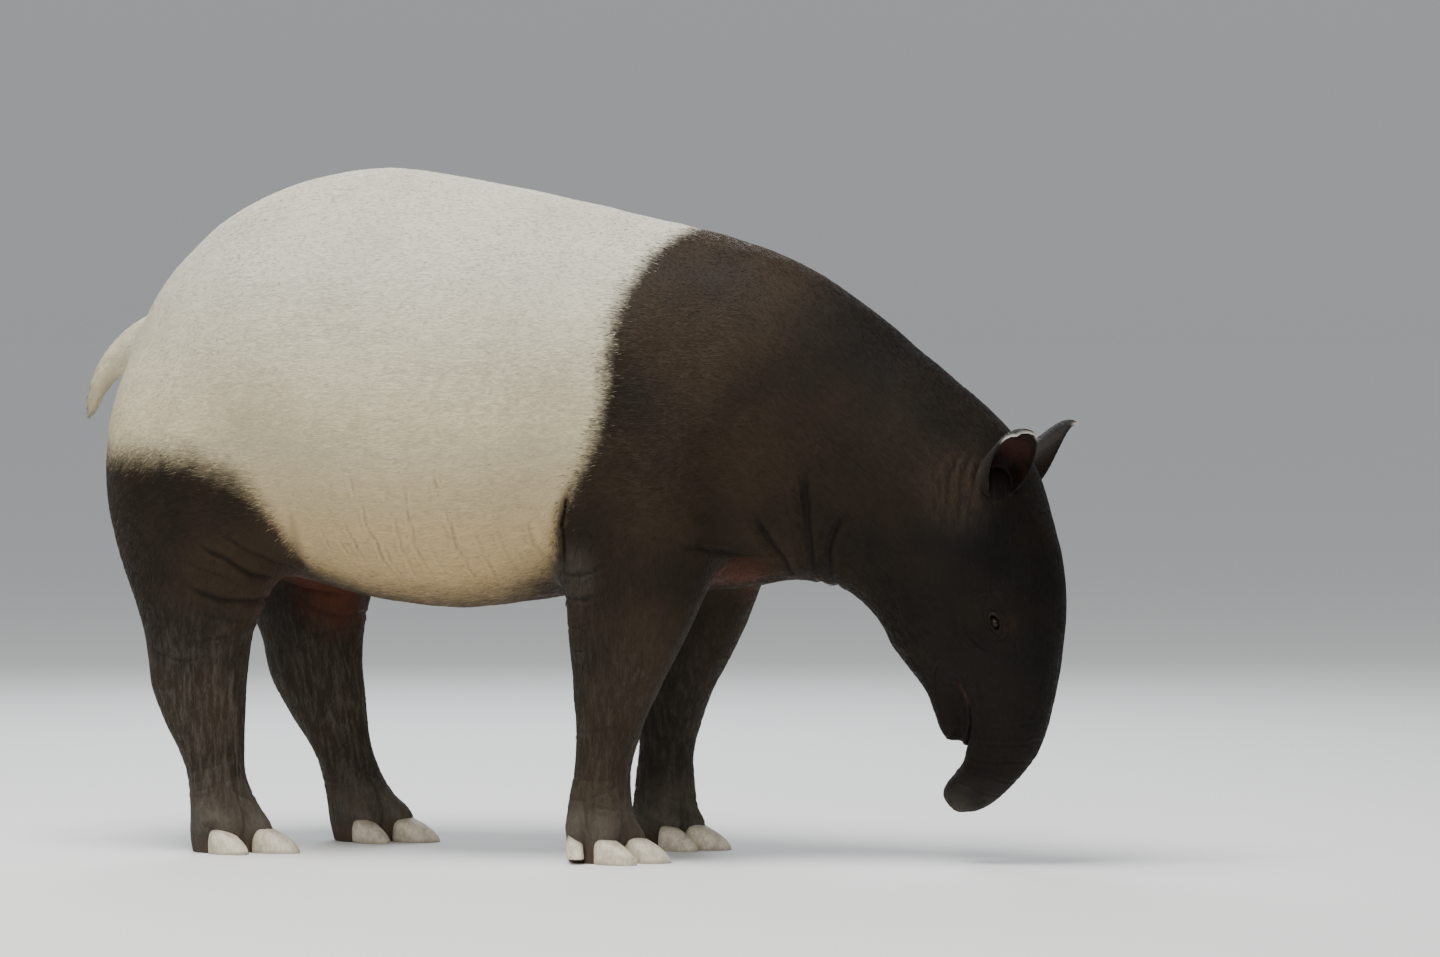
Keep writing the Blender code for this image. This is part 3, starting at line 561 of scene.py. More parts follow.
def ear_leaf(side, along=40, across=32):
    """A cupped ear: a rolled tube at its root that opens to a round leaf.

    The first half of its faces but for the edges are the ones inside the cup. Also returned are
    the points along its rim.
    """
    line, face, wide = ear_axes(side)
    root = mirrored(EAR_ROOT, side)
    body = bmesh.new()
    layers = []
    for push in (0.0, EAR_THICKNESS):
        rows = []
        for i in range(along + 1):
            s = i / along
            rise = math.sin(math.pi / 2 * min(1.0, s / EAR_WIDEST))
            past = max(0.0, s - EAR_WIDEST) / (1.02 - EAR_WIDEST)
            half = EAR_HALF_WIDTH * (EAR_ROOT_WIDTH + (1 - EAR_ROOT_WIDTH) * rise)
            half *= (1 - past**2) ** EAR_TIP_ROUND
            roll = math.radians(EAR_TIP_ROLL + EAR_ROOT_ROLL * (1 - s) ** 1.3)
            radius = half / math.sin(min(roll, math.pi / 2))
            row = []
            for k in range(across + 1):
                t = 2 * k / across - 1
                angle = roll * t
                thin = push * (1 - 0.45 * abs(t) ** 3) * (1 - 0.35 * s)
                r = radius + thin
                middle = EAR_HALF_WIDTH * 0.30 * (1 - s)
                deep = -math.cos(angle) * r + radius * math.cos(roll) * 0.35 - middle
                place = root + line * (EAR_LENGTH * s + thin * s * 0.6)
                row.append(body.verts.new(place + wide * math.sin(angle) * r + face * deep))
            rows.append(row)
        layers.append(rows)
    inner, outer = layers
    for i in range(along):
        for k in range(across):
            body.faces.new((inner[i][k], inner[i][k + 1], inner[i + 1][k + 1], inner[i + 1][k]))
    for i in range(along):
        for k in range(across):
            body.faces.new((outer[i][k], outer[i + 1][k], outer[i + 1][k + 1], outer[i][k + 1]))
    for i in range(along):
        for k in (0, across):
            body.faces.new((inner[i][k], inner[i + 1][k], outer[i + 1][k], outer[i][k]))
    for i in (0, along):
        for k in range(across):
            body.faces.new((inner[i][k], outer[i][k], outer[i][k + 1], inner[i][k + 1]))
    bmesh.ops.recalc_face_normals(body, faces=body.faces)
    rim = [inner[i][0].co.copy() for i in range(along + 1)]
    rim += [v.co.copy() for v in inner[along]]
    rim += [inner[i][across].co.copy() for i in range(along, -1, -1)]
    return body, np.array(rim)


def ears_on(skin):
    """Joins both ears to the skin, and works the crease round their roots smooth."""
    under = bmesh.new()
    under.from_mesh(skin.data)
    under_tree = BVHTree.FromBMesh(under)
    under.free()
    ear_trees = []
    for side in (-1, 1):
        ear = as_object("ear", ear_leaf(side)[0])
        modify(ear, "REMESH", mode="VOXEL", voxel_size=EAR_VOXEL)
        modify(ear, "SMOOTH", factor=0.5, iterations=6)
        settle(ear)
        shape = bmesh.new()
        shape.from_mesh(ear.data)
        ear_trees.append(BVHTree.FromBMesh(shape))
        shape.free()
        modify(skin, "BOOLEAN", operation="UNION", object=ear, solver="MANIFOLD")
        settle(skin)
        bpy.data.objects.remove(ear, do_unlink=True)
    co = points_of(skin.data)
    weight = np.zeros(len(co))
    near = off_point(on_left(co), (87.0, 9.6, 60.0)) < 9
    for i in np.where(near)[0]:
        tree = ear_trees[0 if co[i, 1] < 0 else 1]
        off_ear = tree.find_nearest(co[i])[3]
        off_skin = under_tree.find_nearest(co[i])[3]
        weight[i] = max(0.0, 1 - max(off_ear, off_skin) / 1.3)
    weight = np.minimum(weight * 1.4, 1) * 0.6
    put_points(skin.data, relax(co, edges_of(skin.data), weight, 26))


# Swellings and hollows of the body on its left side, as a middle, radii and height. Those of the
# legs move with the stride of the left legs.
Form = namedtuple("Form", "middle radii height leg", defaults=(False,))
FORMS = [Form(*row) for row in (
    # The shoulder blade, its spine, the point of the shoulder and the hollow behind it.
    ((31, 16, 84), (7, 20, 11), 0.55), ((42, 13, 66), (7, 20, 8), 0.7),
    ((23, 18, 68), (5, 14, 12), -0.35), ((19, 20, 88), (6, 14, 8), -0.25),
    ((30, 20, 55), (7, 10, 9), 0.5), ((18, 24, 54), (4.5, 12, 7), -0.5),
    ((16.9, 22, 50), (1.3, 12, 4.6), 0.5),
    # The hip, the loin, the flank's hollow, the thigh's two bellies and the pin bone.
    ((-33, 18, 92), (7, 12, 6), 0.5), ((-20, 24, 80), (8, 14, 9), -0.5),
    ((-24, 24, 58), (6, 14, 9), -0.7), ((-40, 20, 70), (9, 12, 14), 0.6, True),
    ((-49, 17, 64), (2.6, 14, 15), -0.35, True), ((-55, 12, 66), (5, 8, 10), 0.4, True),
    ((-29, 16, 46), (4, 8, 5), 0.6, True),
    # The hock: its point, the hollow before the tendon, and the ankle's sides.
    ((-50.5, 13.8, 27), (2.6, 6, 4), 0.45, True), ((-46.4, 13.8, 31), (2.0, 8, 6), -0.5, True),
    ((-42, 13.8, 23), (3.5, 8, 4), 0.35, True), ((-41.5, 13.8, 14.5), (3, 8, 3), -0.25, True),
    # The elbow, the forearm's muscle, the wrist and the tendons behind it.
    ((21, 18, 45), (4.5, 8, 4.5), 0.5, True), ((30, 18, 38), (5, 7, 7), 0.45, True),
    ((22.2, 14, 27), (1.6, 8, 7), -0.32, True), ((25, 14, 20), (4, 8, 3.4), 0.35, True),
    ((21, 14, 12.4), (2.2, 8, 3), -0.2, True),
    # The cheek, the temple, the bone under the eye, the sides of the snout and the throat.
    ((75, 11, 43), (5, 6, 7), 0.5), ((87.5, 9, 48), (2.8, 5, 5), -0.55),
    ((80.5, 10, 50), (3, 5, 5), 0.35), ((81.5, 10, 35.5), (2.6, 5, 2.6), 0.45),
    ((86.5, 7, 29), (3, 5, 5), -0.4), ((80.5, 6, 26), (1.6, 5, 5), 0.35),
    ((88.5, 4, 20), (3, 4, 5), 0.25), ((69, 9, 36), (4, 6, 4), -0.4), ((92.5, 0, 44), (3, 4, 8), 0.25),
    ((90.0, 9.5, 57), (3, 4, 4), 0.4),
)]

# Folds of the skin, as their line in the side plane, width, depth, place and the height of the
# lips beside them. A place says where the line runs, "flank" on the side of the trunk or head and
# "ring" round a leg, the neck or the snout, then the least and most distance from the middle,
# whether it moves with the leg's stride, and its side, which is 0 for both.
Place = namedtuple("Place", "where inner outer leg side", defaults=(0,))
Fold = namedtuple("Fold", "line width depth place lip", defaults=(0.4,))
FLANK = Place("flank", 4, 40, False)
LEG = Place("ring", 5, 26, True)
NECK = Place("ring", 0, 40, False)
SNOUT = Place("ring", 0, 9, False)


def trunk_folds():
    """The fine upright folds low on both flanks, the right ones where the photograph has them."""
    lines = [
        ((-17.3, 50.5), (-16.2, 46.5)), ((-15.3, 53.0), (-13.6, 45.6)), ((-13.6, 61.0), (-12.7, 55.4)),
        ((-11.8, 56.8), (-10.9, 50.2), (-9.2, 43.5)), ((-9.6, 50.5), (-8.0, 42.5)),
        ((-6.7, 54.0), (-5.2, 42.2)), ((-4.4, 60.0), (-4.0, 52.3), (-2.7, 43.0)),
        ((-1.4, 50.1), (-0.2, 42.8)), ((2.2, 55.6), (2.9, 48.0), (4.0, 42.6)),
        ((5.8, 51.6), (7.0, 43.2)), ((9.0, 53.6), (10.4, 44.0)), ((13.2, 53.2), (15.2, 46.0)),
        ((11.0, 49.5), (12.6, 45.0)), ((0.6, 60.2), (1.1, 56.2)), ((-20.4, 52.0), (-19.4, 47.0)),
    ]
    found = []
    for i, line in enumerate(lines):
        depth = (0.16, 0.24, 0.12, 0.26, 0.15)[i % 5]
        drift = (1.1, -0.6, 0.4, -1.3, 0.9)[i % 5]
        shifted = [(x + drift, z + drift) for x, z in line]
        for side, points in ((-1, line), (1, shifted)):
            found.append(Fold(points, 0.26, depth, FLANK._replace(side=side), 0.45))
    return found


FOLDS = [Fold(*row) for row in (
    # The thigh's slanting creases and the fold from the flank to the knee.
    (((-41.8, 50.2), (-36.4, 46.2), (-31.2, 43.2), (-27.4, 41.2)), 0.4, 0.40, FLANK),
    (((-38.2, 51.5), (-33.6, 48.2), (-29.4, 45.4), (-26.2, 43.6)), 0.34, 0.26, FLANK),
    (((-43.5, 46.4), (-38.5, 44.2), (-33.5, 42.0)), 0.3, 0.18, FLANK),
    (((-44.3, 42.9), (-38.0, 40.1), (-33.8, 39.6), (-28.6, 41.0)), 0.42, 0.42, LEG._replace(side=-1)),
    (((-44.3, 42.9), (-38.0, 40.1), (-34.8, 39.6)), 0.42, 0.26, LEG._replace(side=1)),
    (((-43.6, 39.0), (-36.3, 36.7), (-31.1, 37.6)), 0.3, 0.18, LEG),
    (((-44.9, 32.2), (-39.7, 33.8), (-34.2, 35.1)), 0.28, 0.16, LEG),
    (((-25.4, 55.0), (-25.9, 49.6), (-26.6, 43.5)), 0.8, 0.30, FLANK, 0.3),
    # The fold of skin behind the elbow.
    (((21.2, 59.5), (19.4, 55.0), (18.7, 50.5), (18.7, 44.5)), 0.46, 0.95, FLANK, 0.5),
    (((16.6, 57.0), (15.4, 53.0), (15.6, 49.0)), 0.4, 0.12, FLANK),
    # Rings behind the elbow, over the wrist and above the hooves.
    (((16.0, 45.4), (18.9, 44.7), (23.5, 45.2), (27.5, 46.6)), 0.34, 0.28, LEG),
    (((16.4, 41.4), (21.1, 40.7), (25.2, 41.4)), 0.34, 0.26, LEG),
    (((17.0, 36.9), (20.4, 36.6), (23.6, 37.4)), 0.26, 0.15, LEG),
    (((18.0, 33.4), (21.0, 33.0), (24.0, 33.8)), 0.22, 0.10, LEG),
    (((17.5, 21.0), (22.0, 20.2), (26.0, 21.0), (31.0, 20.0)), 0.26, 0.10, LEG),
    (((16.5, 14.6), (20.0, 13.2), (24.5, 12.9), (29.0, 14.6)), 0.34, 0.09, LEG),
    (((17.0, 9.8), (21.0, 9.6), (25.0, 11.0), (28.0, 13.0)), 0.34, 0.08, LEG),
    (((23.0, 9.2), (27.0, 8.0), (31.0, 7.2)), 0.28, 0.08, LEG),
    (((-48.5, 13.4), (-42.0, 13.2), (-36.5, 15.6)), 0.32, 0.08, LEG),
    (((-47.5, 9.6), (-42.0, 10.0), (-35.5, 12.6)), 0.32, 0.08, LEG),
    (((-38.0, 10.6), (-34.0, 8.4), (-30.5, 7.0)), 0.26, 0.08, LEG),
    (((-53.0, 33.0), (-46.0, 30.6), (-37.0, 31.6)), 0.3, 0.12, LEG),
    # The chest, and where the neck bends down.
    (((36.4, 49.2), (41.0, 48.9), (44.2, 47.7), (48.7, 46.9)), 0.34, 0.32, FLANK),
    (((47.2, 55.0), (49.2, 50.5), (50.3, 48.0), (51.8, 42.0)), 0.42, 0.60, FLANK),
    (((55.6, 63.0), (55.8, 57.0), (55.5, 50.5), (54.6, 41.0)), 0.5, 0.60, NECK, 0.5),
    (((62.4, 55.2), (59.0, 50.4), (58.0, 47.6), (57.6, 40.0)), 0.5, 0.60, NECK),
    (((65.6, 54.0), (64.6, 48.0), (62.2, 43.0)), 0.36, 0.07, NECK),
    (((52.4, 58.0), (52.9, 52.0), (52.6, 44.6)), 0.4, 0.16, NECK),
    # Upright wrinkles behind the ear.
    (((79.6, 65.0), (78.6, 61.0), (78.1, 57.2), (79.3, 52.4)), 0.40, 0.10, FLANK),
    (((81.4, 64.3), (80.3, 61.0), (79.9, 57.0), (80.6, 53.2)), 0.32, 0.08, FLANK),
    (((82.9, 64.0), (81.8, 60.0), (81.5, 57.0), (82.2, 54.0)), 0.30, 0.07, FLANK),
    (((77.3, 64.0), (76.3, 60.0), (76.3, 55.0)), 0.36, 0.06, FLANK),
    (((74.4, 66.0), (73.6, 61.0), (74.0, 56.4)), 0.40, 0.05, FLANK),
    (((70.5, 69.0), (69.4, 62.0), (70.0, 56.0)), 0.45, 0.04, FLANK),
    # Round the eye, down the cheek, and beside the mouth.
    (((80.6, 39.4), (81.0, 36.4), (82.6, 34.2), (85.2, 33.4)), 0.24, 0.14, FLANK),
    (((81.2, 41.0), (83.0, 42.4), (86.0, 42.6), (88.2, 41.2)), 0.26, 0.14, FLANK),
    (((79.2, 40.0), (79.4, 35.6), (81.2, 32.6)), 0.26, 0.10, FLANK),
    (((87.2, 35.6), (88.0, 33.4), (87.2, 31.0)), 0.22, 0.08, FLANK),
    (((75.6, 31.6), (74.6, 29.4), (74.8, 27.2)), 0.26, 0.18, FLANK),
    (((80.9, 29.6), (82.0, 26.6), (81.9, 22.6)), 0.3, 0.16, FLANK),
    (((72.0, 34.4), (70.4, 37.4), (69.6, 41.4)), 0.36, 0.14, FLANK),
    # Rings round the snout.
    (((81.5, 21.2), (86.0, 21.6), (91.6, 22.6)), 0.24, 0.07, SNOUT, 0.5),
    (((80.2, 18.9), (85.0, 18.8), (90.9, 19.4)), 0.24, 0.09, SNOUT, 0.5),
    (((78.9, 16.9), (84.0, 16.0), (89.6, 16.0)), 0.24, 0.10, SNOUT, 0.5),
    (((77.5, 15.0), (82.0, 13.8), (87.2, 12.8)), 0.24, 0.10, SNOUT, 0.5),
    (((76.2, 13.2), (80.2, 11.8), (84.4, 10.2)), 0.22, 0.09, SNOUT, 0.5),
)]


def unswung(co):
    """Where points of the left legs would be without their stride, and the rest as they are."""
    found = co.copy()
    left = np.clip(co[:, 1] / 6, 0, 1)
    share = np.clip(HIP_HEIGHT - co[:, 2], 0, None) / HIP_HEIGHT
    stride = HIND_STRIDE + (FORE_STRIDE - HIND_STRIDE) * ramp(co[:, 0], -24, 6)
    found[:, 0] -= left * share * stride
    found[:, 1] = np.abs(found[:, 1])
    return found


def form_push(co):
    """How far the swellings and hollows push the skin out."""
    push = np.zeros(len(co))
    folded = on_left(co)
    legs = unswung(co)
    for form in FORMS:
        off = ((legs if form.leg else folded) - np.array(form.middle)) / np.array(form.radii)
        push += form.height * np.exp(-np.sum(off**2, axis=1))
    return push


def fold_push(co, normal):
    """How far the folds push the skin, and how deep in a fold each point lies, 0 to 1."""
    push = np.zeros(len(co))
    deep = np.zeros(len(co))
    folded = on_left(co)
    legs = unswung(co)
    facing = ramp(normal[:, 1] * np.sign(co[:, 1]), 0.05, 0.45)
    wander = 0.35 * noise(co, 2.6, 5)
    for fold in [*FOLDS, *trunk_folds()]:
        place = fold.place
        at = legs if place.leg else folded
        line = curve(fold.line, 6)
        reach = fold.width * 4
        low, high = line.min(axis=0) - reach, line.max(axis=0) + reach
        picked = (at[:, 0] > low[0]) & (at[:, 0] < high[0])
        picked &= (at[:, 2] > low[1]) & (at[:, 2] < high[1])
        picked &= (at[:, 1] >= place.inner) & (at[:, 1] <= place.outer)
        if place.side:
            picked &= co[:, 1] * place.side > 0
        picked = np.where(picked)[0]
        if not len(picked):
            continue
        gap, along = off_line(at[picked][:, [0, 2]] + wander[picked, None], line)
        gap /= fold.width
        fade = ramp(along, 0.0, 0.3) * (1 - ramp(along, 0.7, 1.0))
        if place.where == "flank":
            fade = fade * facing[picked]
        groove = np.exp(-(gap**2))
        lips = np.exp(-((gap - 1.9) ** 2) / 0.9)
        push[picked] += fade * (-fold.depth * groove + fold.depth * fold.lip * lips)
        deep[picked] = np.maximum(deep[picked], fade * groove * min(1.0, fold.depth / 0.5))
    return push, deep


def cleft_push(co, normal):
    """How far the clefts between the toes push the skin in, from the hooves up over the foot."""
    push = np.zeros(len(co))
    for foot in ("front_right", "front_left", "hind_right", "hind_left"):
        toes = [(toe, tip, way) for name, toe, tip, way in foot_toes() if name == foot]
        middles = np.array([(tip - way * toe.length * 0.7).xy for toe, tip, way in toes])
        near = np.linalg.norm(co[:, :2] - middles.mean(axis=0), axis=1) < 11
        picked = np.where(near & (co[:, 2] < 13))[0]
        flat = co[picked, :2]
        offs = []
        for (toe, tip, way), middle in zip(toes, middles):
            off = flat - middle
            across = off @ np.array((-way.y, way.x))
            ahead = off @ np.array(way.xy)
            offs.append(np.hypot(across, np.minimum(ahead + 3.0, 0)) / toe.width)
        offs = np.sort(np.stack(offs, axis=1), axis=1)
        groove = np.exp(-(((offs[:, 1] - offs[:, 0]) / 0.20) ** 2))
        groove *= 1 - ramp(offs[:, 0], 0.75, 1.2)
        groove *= 1 - ramp(co[picked, 2], 6.5, 12.5)
        groove *= 1 - 0.8 * np.abs(normal[picked, 2])
        push[picked] -= 0.75 * groove
    return push


def eye_places(co, side):
    """Points seen from the eye: along the lids, across them towards the brow, and outwards."""
    turn = np.array(eye_turn(side))
    return (co - np.array(eye_centre(side))) @ turn


def lid_gap(u, v):
    """Below 0 in the opening between the lids, 0 at their edge and about 1 at their fold."""
    wide = np.abs(u) / 1.28
    tall = np.abs(v) / np.where(v > 0, 0.74, 0.56)
    return (wide**1.9 + tall**1.7) ** (1 / 1.8) - 1


def shape_lids(co):
    """Wraps the skin over the eyeballs as two lids, and opens them."""
    marks = np.zeros(len(co))
    for side in (-1, 1):
        picked = np.where(off_point(co, eye_centre(side)) < 4.6)[0]
        q = eye_places(co[picked], side)
        outward = q[:, 2] > -0.9
        picked, q = picked[outward], q[outward]
        u, v, w = q.T
        radius = np.hypot(u / 2.75, v / 2.3)
        cover = 1.80 * np.sqrt(np.clip(1 - radius**2, 0, None))
        soft = 0.35
        blend = np.clip(0.5 + 0.5 * (cover - w) / soft, 0, 1)
        lidded = w * (1 - blend) + cover * blend + soft * blend * (1 - blend) * 0.5
        near = 1 - ramp(radius, 0.8, 1.15)
        w = w * (1 - near) + lidded * near
        gap = lid_gap(u, v)
        # The edge of each lid is rolled, with a fold above it and one below.
        w += 0.07 * np.exp(-(((gap - 0.13) / 0.12) ** 2))
        w -= 0.13 * np.exp(-(((gap - 0.62) / 0.12) ** 2)) * ramp(v, -0.1, 0.35)
        w -= 0.08 * np.exp(-(((gap - 0.55) / 0.10) ** 2)) * ramp(-v, -0.1, 0.35)
        w += 0.10 * np.exp(-(((gap - 0.95) / 0.22) ** 2))
        w -= 0.05 * np.exp(-(((gap - 1.35) / 0.12) ** 2))
        inside = ramp(-gap, 0.0, 0.10)
        floor = np.sqrt(np.clip(EYE_RADIUS**2 - u**2 - v**2, 0.01, None)) - 0.28
        w = w * (1 - inside) + floor * inside
        marks[picked] = np.maximum(marks[picked], np.exp(-((gap / 0.16) ** 2)))
        turn = np.array(eye_turn(side))
        co[picked] = np.array(eye_centre(side)) + np.stack([u, v, w], axis=1) @ turn.T
    return marks


def mouth_push(co):
    """How far the slit of the mouth and its lips push the skin, and how deep it is, 0 to 1."""
    push = np.zeros(len(co))
    deep = np.zeros(len(co))
    picked = np.where((co[:, 0] > 70) & (co[:, 2] < 36) & (co[:, 2] > 12))[0]
    gap, along = off_line(co[picked][:, [0, 2]], MOUTH)
    fade = 1 - ramp(along, 0.86, 1.0)
    slit = np.exp(-((gap / 0.20) ** 2)) * fade
    lips = np.exp(-(((gap - 0.62) / 0.36) ** 2)) * fade
    push[picked] = 0.16 * lips - 0.75 * slit
    deep[picked] = slit
    return push, deep


NOSTRIL_WAY = np.array((-0.55, 0.25, -0.80))
NOSTRIL_WAY = NOSTRIL_WAY / np.linalg.norm(NOSTRIL_WAY)


def nostril_push(co):
    """Slanting nostrils at the snout's tip with a raised rim, and how deep they are."""
    push = np.zeros(len(co))
    deep = np.zeros(len(co))
    for side in (-1, 1):
        middle = np.array(mirrored(NOSTRIL, side))
        off = co - middle
        picked = np.where(np.linalg.norm(off, axis=1) < 3.2)[0]
        off = off[picked]
        tall = off @ np.array((0.62, 0.0, -0.78)) / 0.55
        across = off[:, 1] * side / 0.42
        long = off @ np.array((0.78, 0.0, 0.62)) / 1.05
        gap = np.sqrt(across**2 + long**2 * 0.9 + tall**2 * 0.05)
        push[picked] += -0.9 * np.exp(-((gap / 0.75) ** 3)) + 0.12 * np.exp(-(((gap - 1.5) / 0.5) ** 2))
        deep[picked] = np.maximum(deep[picked], np.exp(-((gap / 0.85) ** 3)))
    return push, deep


def ear_marks(co):
    """How near each point is to an ear's rim, how far inside its cup, how deep in the cup and
    whether it is on an ear at all, each 0 to 1."""
    rim_share = np.zeros(len(co))
    cup_share = np.zeros(len(co))
    deep_share = np.zeros(len(co))
    whole_share = np.zeros(len(co))
    for side in (-1, 1):
        leaf, rim = ear_leaf(side)
        inner = len(leaf.faces) // 2 - 200
        tree = BVHTree.FromBMesh(leaf)
        line, face, _ = ear_axes(side)
        root = mirrored(EAR_ROOT, side)
        middle = root + line * EAR_LENGTH * 0.6
        picked = np.where(off_point(co, middle) < 8.5)[0]
        gap = off_line(co[picked], rim)[0]
        up = (co[picked] - np.array(root)) @ np.array(line) / EAR_LENGTH
        rim_share[picked] = np.exp(-((gap / 0.36) ** 2)) * ramp(up, *EAR_WHITE_RISE[side])
        inside = np.zeros(len(picked))
        close = np.zeros(len(picked))
        for k, i in enumerate(picked):
            _, _, index, off = tree.find_nearest(co[i])
            if index < inner and off < 0.8:
                inside[k] = 1.0
            if off < 0.5:
                close[k] = 1.0
        whole_share[picked] = close * ramp(up, 0.10, 0.28)
        cup_share[picked] = inside * ramp(gap, 0.2, 0.9)
        off = co[picked] - np.array(root) - np.array(face) * EAR_TUBE_DEEP
        along = off @ np.array(line)
        radial = np.linalg.norm(off - along[:, None] * np.array(line), axis=1)
        pit = (1 - ramp(radial, 2.45, 2.8)) * (1 - ramp(np.abs(along - 0.5), 3.8, 5.2))
        cup_share[picked] = np.maximum(cup_share[picked], pit)
        deep_share[picked] = np.maximum(cup_share[picked] * (1 - ramp(up, 0.0, 0.55)), pit)
        leaf.free()
    return rim_share, cup_share, deep_share, whole_share


def lie_shares(co):
    """How much the hair's lie is that of the legs, the neck and the face at each point."""
    at = unswung(co)
    x, y, z = at.T
    fore = ramp(x, 12, 19) * (1 - ramp(x, 44, 52))
    hind = 1 - ramp(x, -30, -22)
    leg = np.maximum(fore, hind) * (1 - ramp(z, 42, 58)) * ramp(y, 2, 5)
    face = ramp(x, 68, 80) * (1 - ramp(z, 56, 68))
    neck = ramp(x, 34, 58) * (1 - face) * (1 - leg)
    return leg, neck, face


SKIN_DEPTH = 0.2


def make_skin():
    """The finished skin as an object in centimetres, with its marks for the materials."""
    skin = base_skin()
    for inside in (off_the_back, on_head_or_feet, on_fine_parts, lambda co: off_eye(co) < 2.9):
        refine(skin, inside)
    ears_on(skin)
    mesh = skin.data
    co = points_of(mesh)
    normal = normals_of(mesh)
    rim, cup, ear_deep, on_ear = ear_marks(co)
    on_ear = np.maximum.reduce([rim, cup, on_ear])
    lumps = 0.22 * noise(co, 9.0, 1) + 0.07 * noise(co, 3.2, 2)
    push = (form_push(co) + lumps - SKIN_DEPTH) * (1 - on_ear)
    co += normal * push[:, None]
    put_points(mesh, co)
    normal = normals_of(mesh)
    push, deep = fold_push(co, normal)
    lips, slit = mouth_push(co)
    pits, pit = nostril_push(co)
    co += normal * ((push + lips + pits + cleft_push(co, normal)) * (1 - on_ear))[:, None]
    lid_edge = shape_lids(co)
    co[:, 2] = 0.5 * (co[:, 2] + np.sqrt(co[:, 2] ** 2 + 0.3**2))
    put_points(mesh, co)
    at = unswung(co)
    at[:, 1] = co[:, 1]
    bare = np.maximum.reduce([cup, pit, slit * 0.8, lid_edge * 0.25])
    add_marks(mesh, at, rim, bare, np.maximum.reduce([deep, slit, ear_deep]), lie_shares(co))
    return skin


def add_marks(mesh, place, rim, bare, deep, lie):
    """Stores what the materials read at each point of a mesh."""
    ones = np.ones(len(mesh.vertices))
    store(mesh, "place", "FLOAT_VECTOR", place)
    # Its second mark holds the ear's white rim, the bare skin and the depth of folds and slits, which
    # the materials turn into painted shade.
    store(mesh, "tint_and_shade", "FLOAT_COLOR", np.stack([rim, bare, deep, ones], axis=1))
    store(mesh, "lie", "FLOAT_COLOR", np.stack([*lie, ones], axis=1))


def read_marks(mesh):
    """What add_marks stored, as one row of numbers for each point."""
    fields = (("place", "vector", 3), ("tint_and_shade", "color", 4), ("lie", "color", 4))
    found = [read(mesh.attributes[name].data, field, width)[:, :3] for name, field, width in fields]
    return np.hstack(found).astype(float)


SPINE = curve([((s.front[0] + s.back[0]) / 2, (s.front[1] + s.back[1]) / 2) for s in BODY_SLICES], 2)
TUFTS = 280000


def ear_places(co, side):
    """How far up an ear each point lies, across it and out from it, and which are on that ear."""
    line, face, wide = ear_axes(side)
    off = co - np.array(mirrored(EAR_ROOT, side))
    rise = off @ np.array(line) / EAR_LENGTH
    across = off @ np.array(wide) / EAR_HALF_WIDTH
    out = off @ np.array(face)
    here = (rise > 0.15) & (rise < 1.2) & (np.abs(across) < 1.4) & (np.abs(out) < 6)
    here &= (co[:, 0] > 84) & (co[:, 1] * side > 9.5)
    return rise, across, out, here


def on_ears(co):
    return (ear_places(co, -1)[3] | ear_places(co, 1)[3]).astype(float)


def hair_length(at, leg, face, on_ear):
    """The length of the hair in centimetres: short all over, and least on the face and feet."""
    x, _, z = at.T
    found = 0.96 + (0.80 - 0.96) * leg
    found += 0.45 * ramp(-z, -44, -38) * (1 - leg) * (1 - ramp(x, 50, 60))
    found += (0.42 - found) * np.maximum(face * ramp(-z, -60, -48), ramp(x, 84, 90))
    found += (0.42 - found) * (1 - ramp(z, 6.0, 12))
    found += 0.25 * np.exp(-(((z - 4.6) / 1.0) ** 2))
    found += (0.34 - found) * on_ear
    found += 0.5 * ramp(-x, 66.5, 69.5)
    near_eye = 1 - ramp(off_eye(at), 1.8, 4.5)
    return found * (1 - 0.45 * near_eye)


def hair_way(at, normal, leg, neck, face):
    """The way that the hair lies at each point, along the skin."""
    x = at[:, 0]
    trunk = np.stack([-np.ones(len(x)), np.zeros(len(x)), -0.22 - 0.9 * ramp(-x, 40, 60)], axis=1)
    down = np.stack([-0.18 * np.ones(len(x)), np.zeros(len(x)), -np.ones(len(x))], axis=1)
    nape = np.array((-0.78, 0.0, 0.55))
    up = np.array((0.10, 0.0, 1.0))
    way = trunk * (1 - neck)[:, None] + nape * neck[:, None]
    way += (up - way) * face[:, None]
    way += (down - way) * leg[:, None]
    way[:, 2] += 0.28 * noise(at, 11.0, 21)
    way -= normal * np.sum(way * normal, axis=1, keepdims=True)
    length = np.linalg.norm(way, axis=1, keepdims=True)
    return way / np.maximum(length, 1e-6)


def hoof_trees():
    return [
        BVHTree.FromBMesh(flat_soled(hoof_block(toe, tip, way, 24, 16), toe.lift))
        for _, toe, tip, way in foot_toes()
    ]


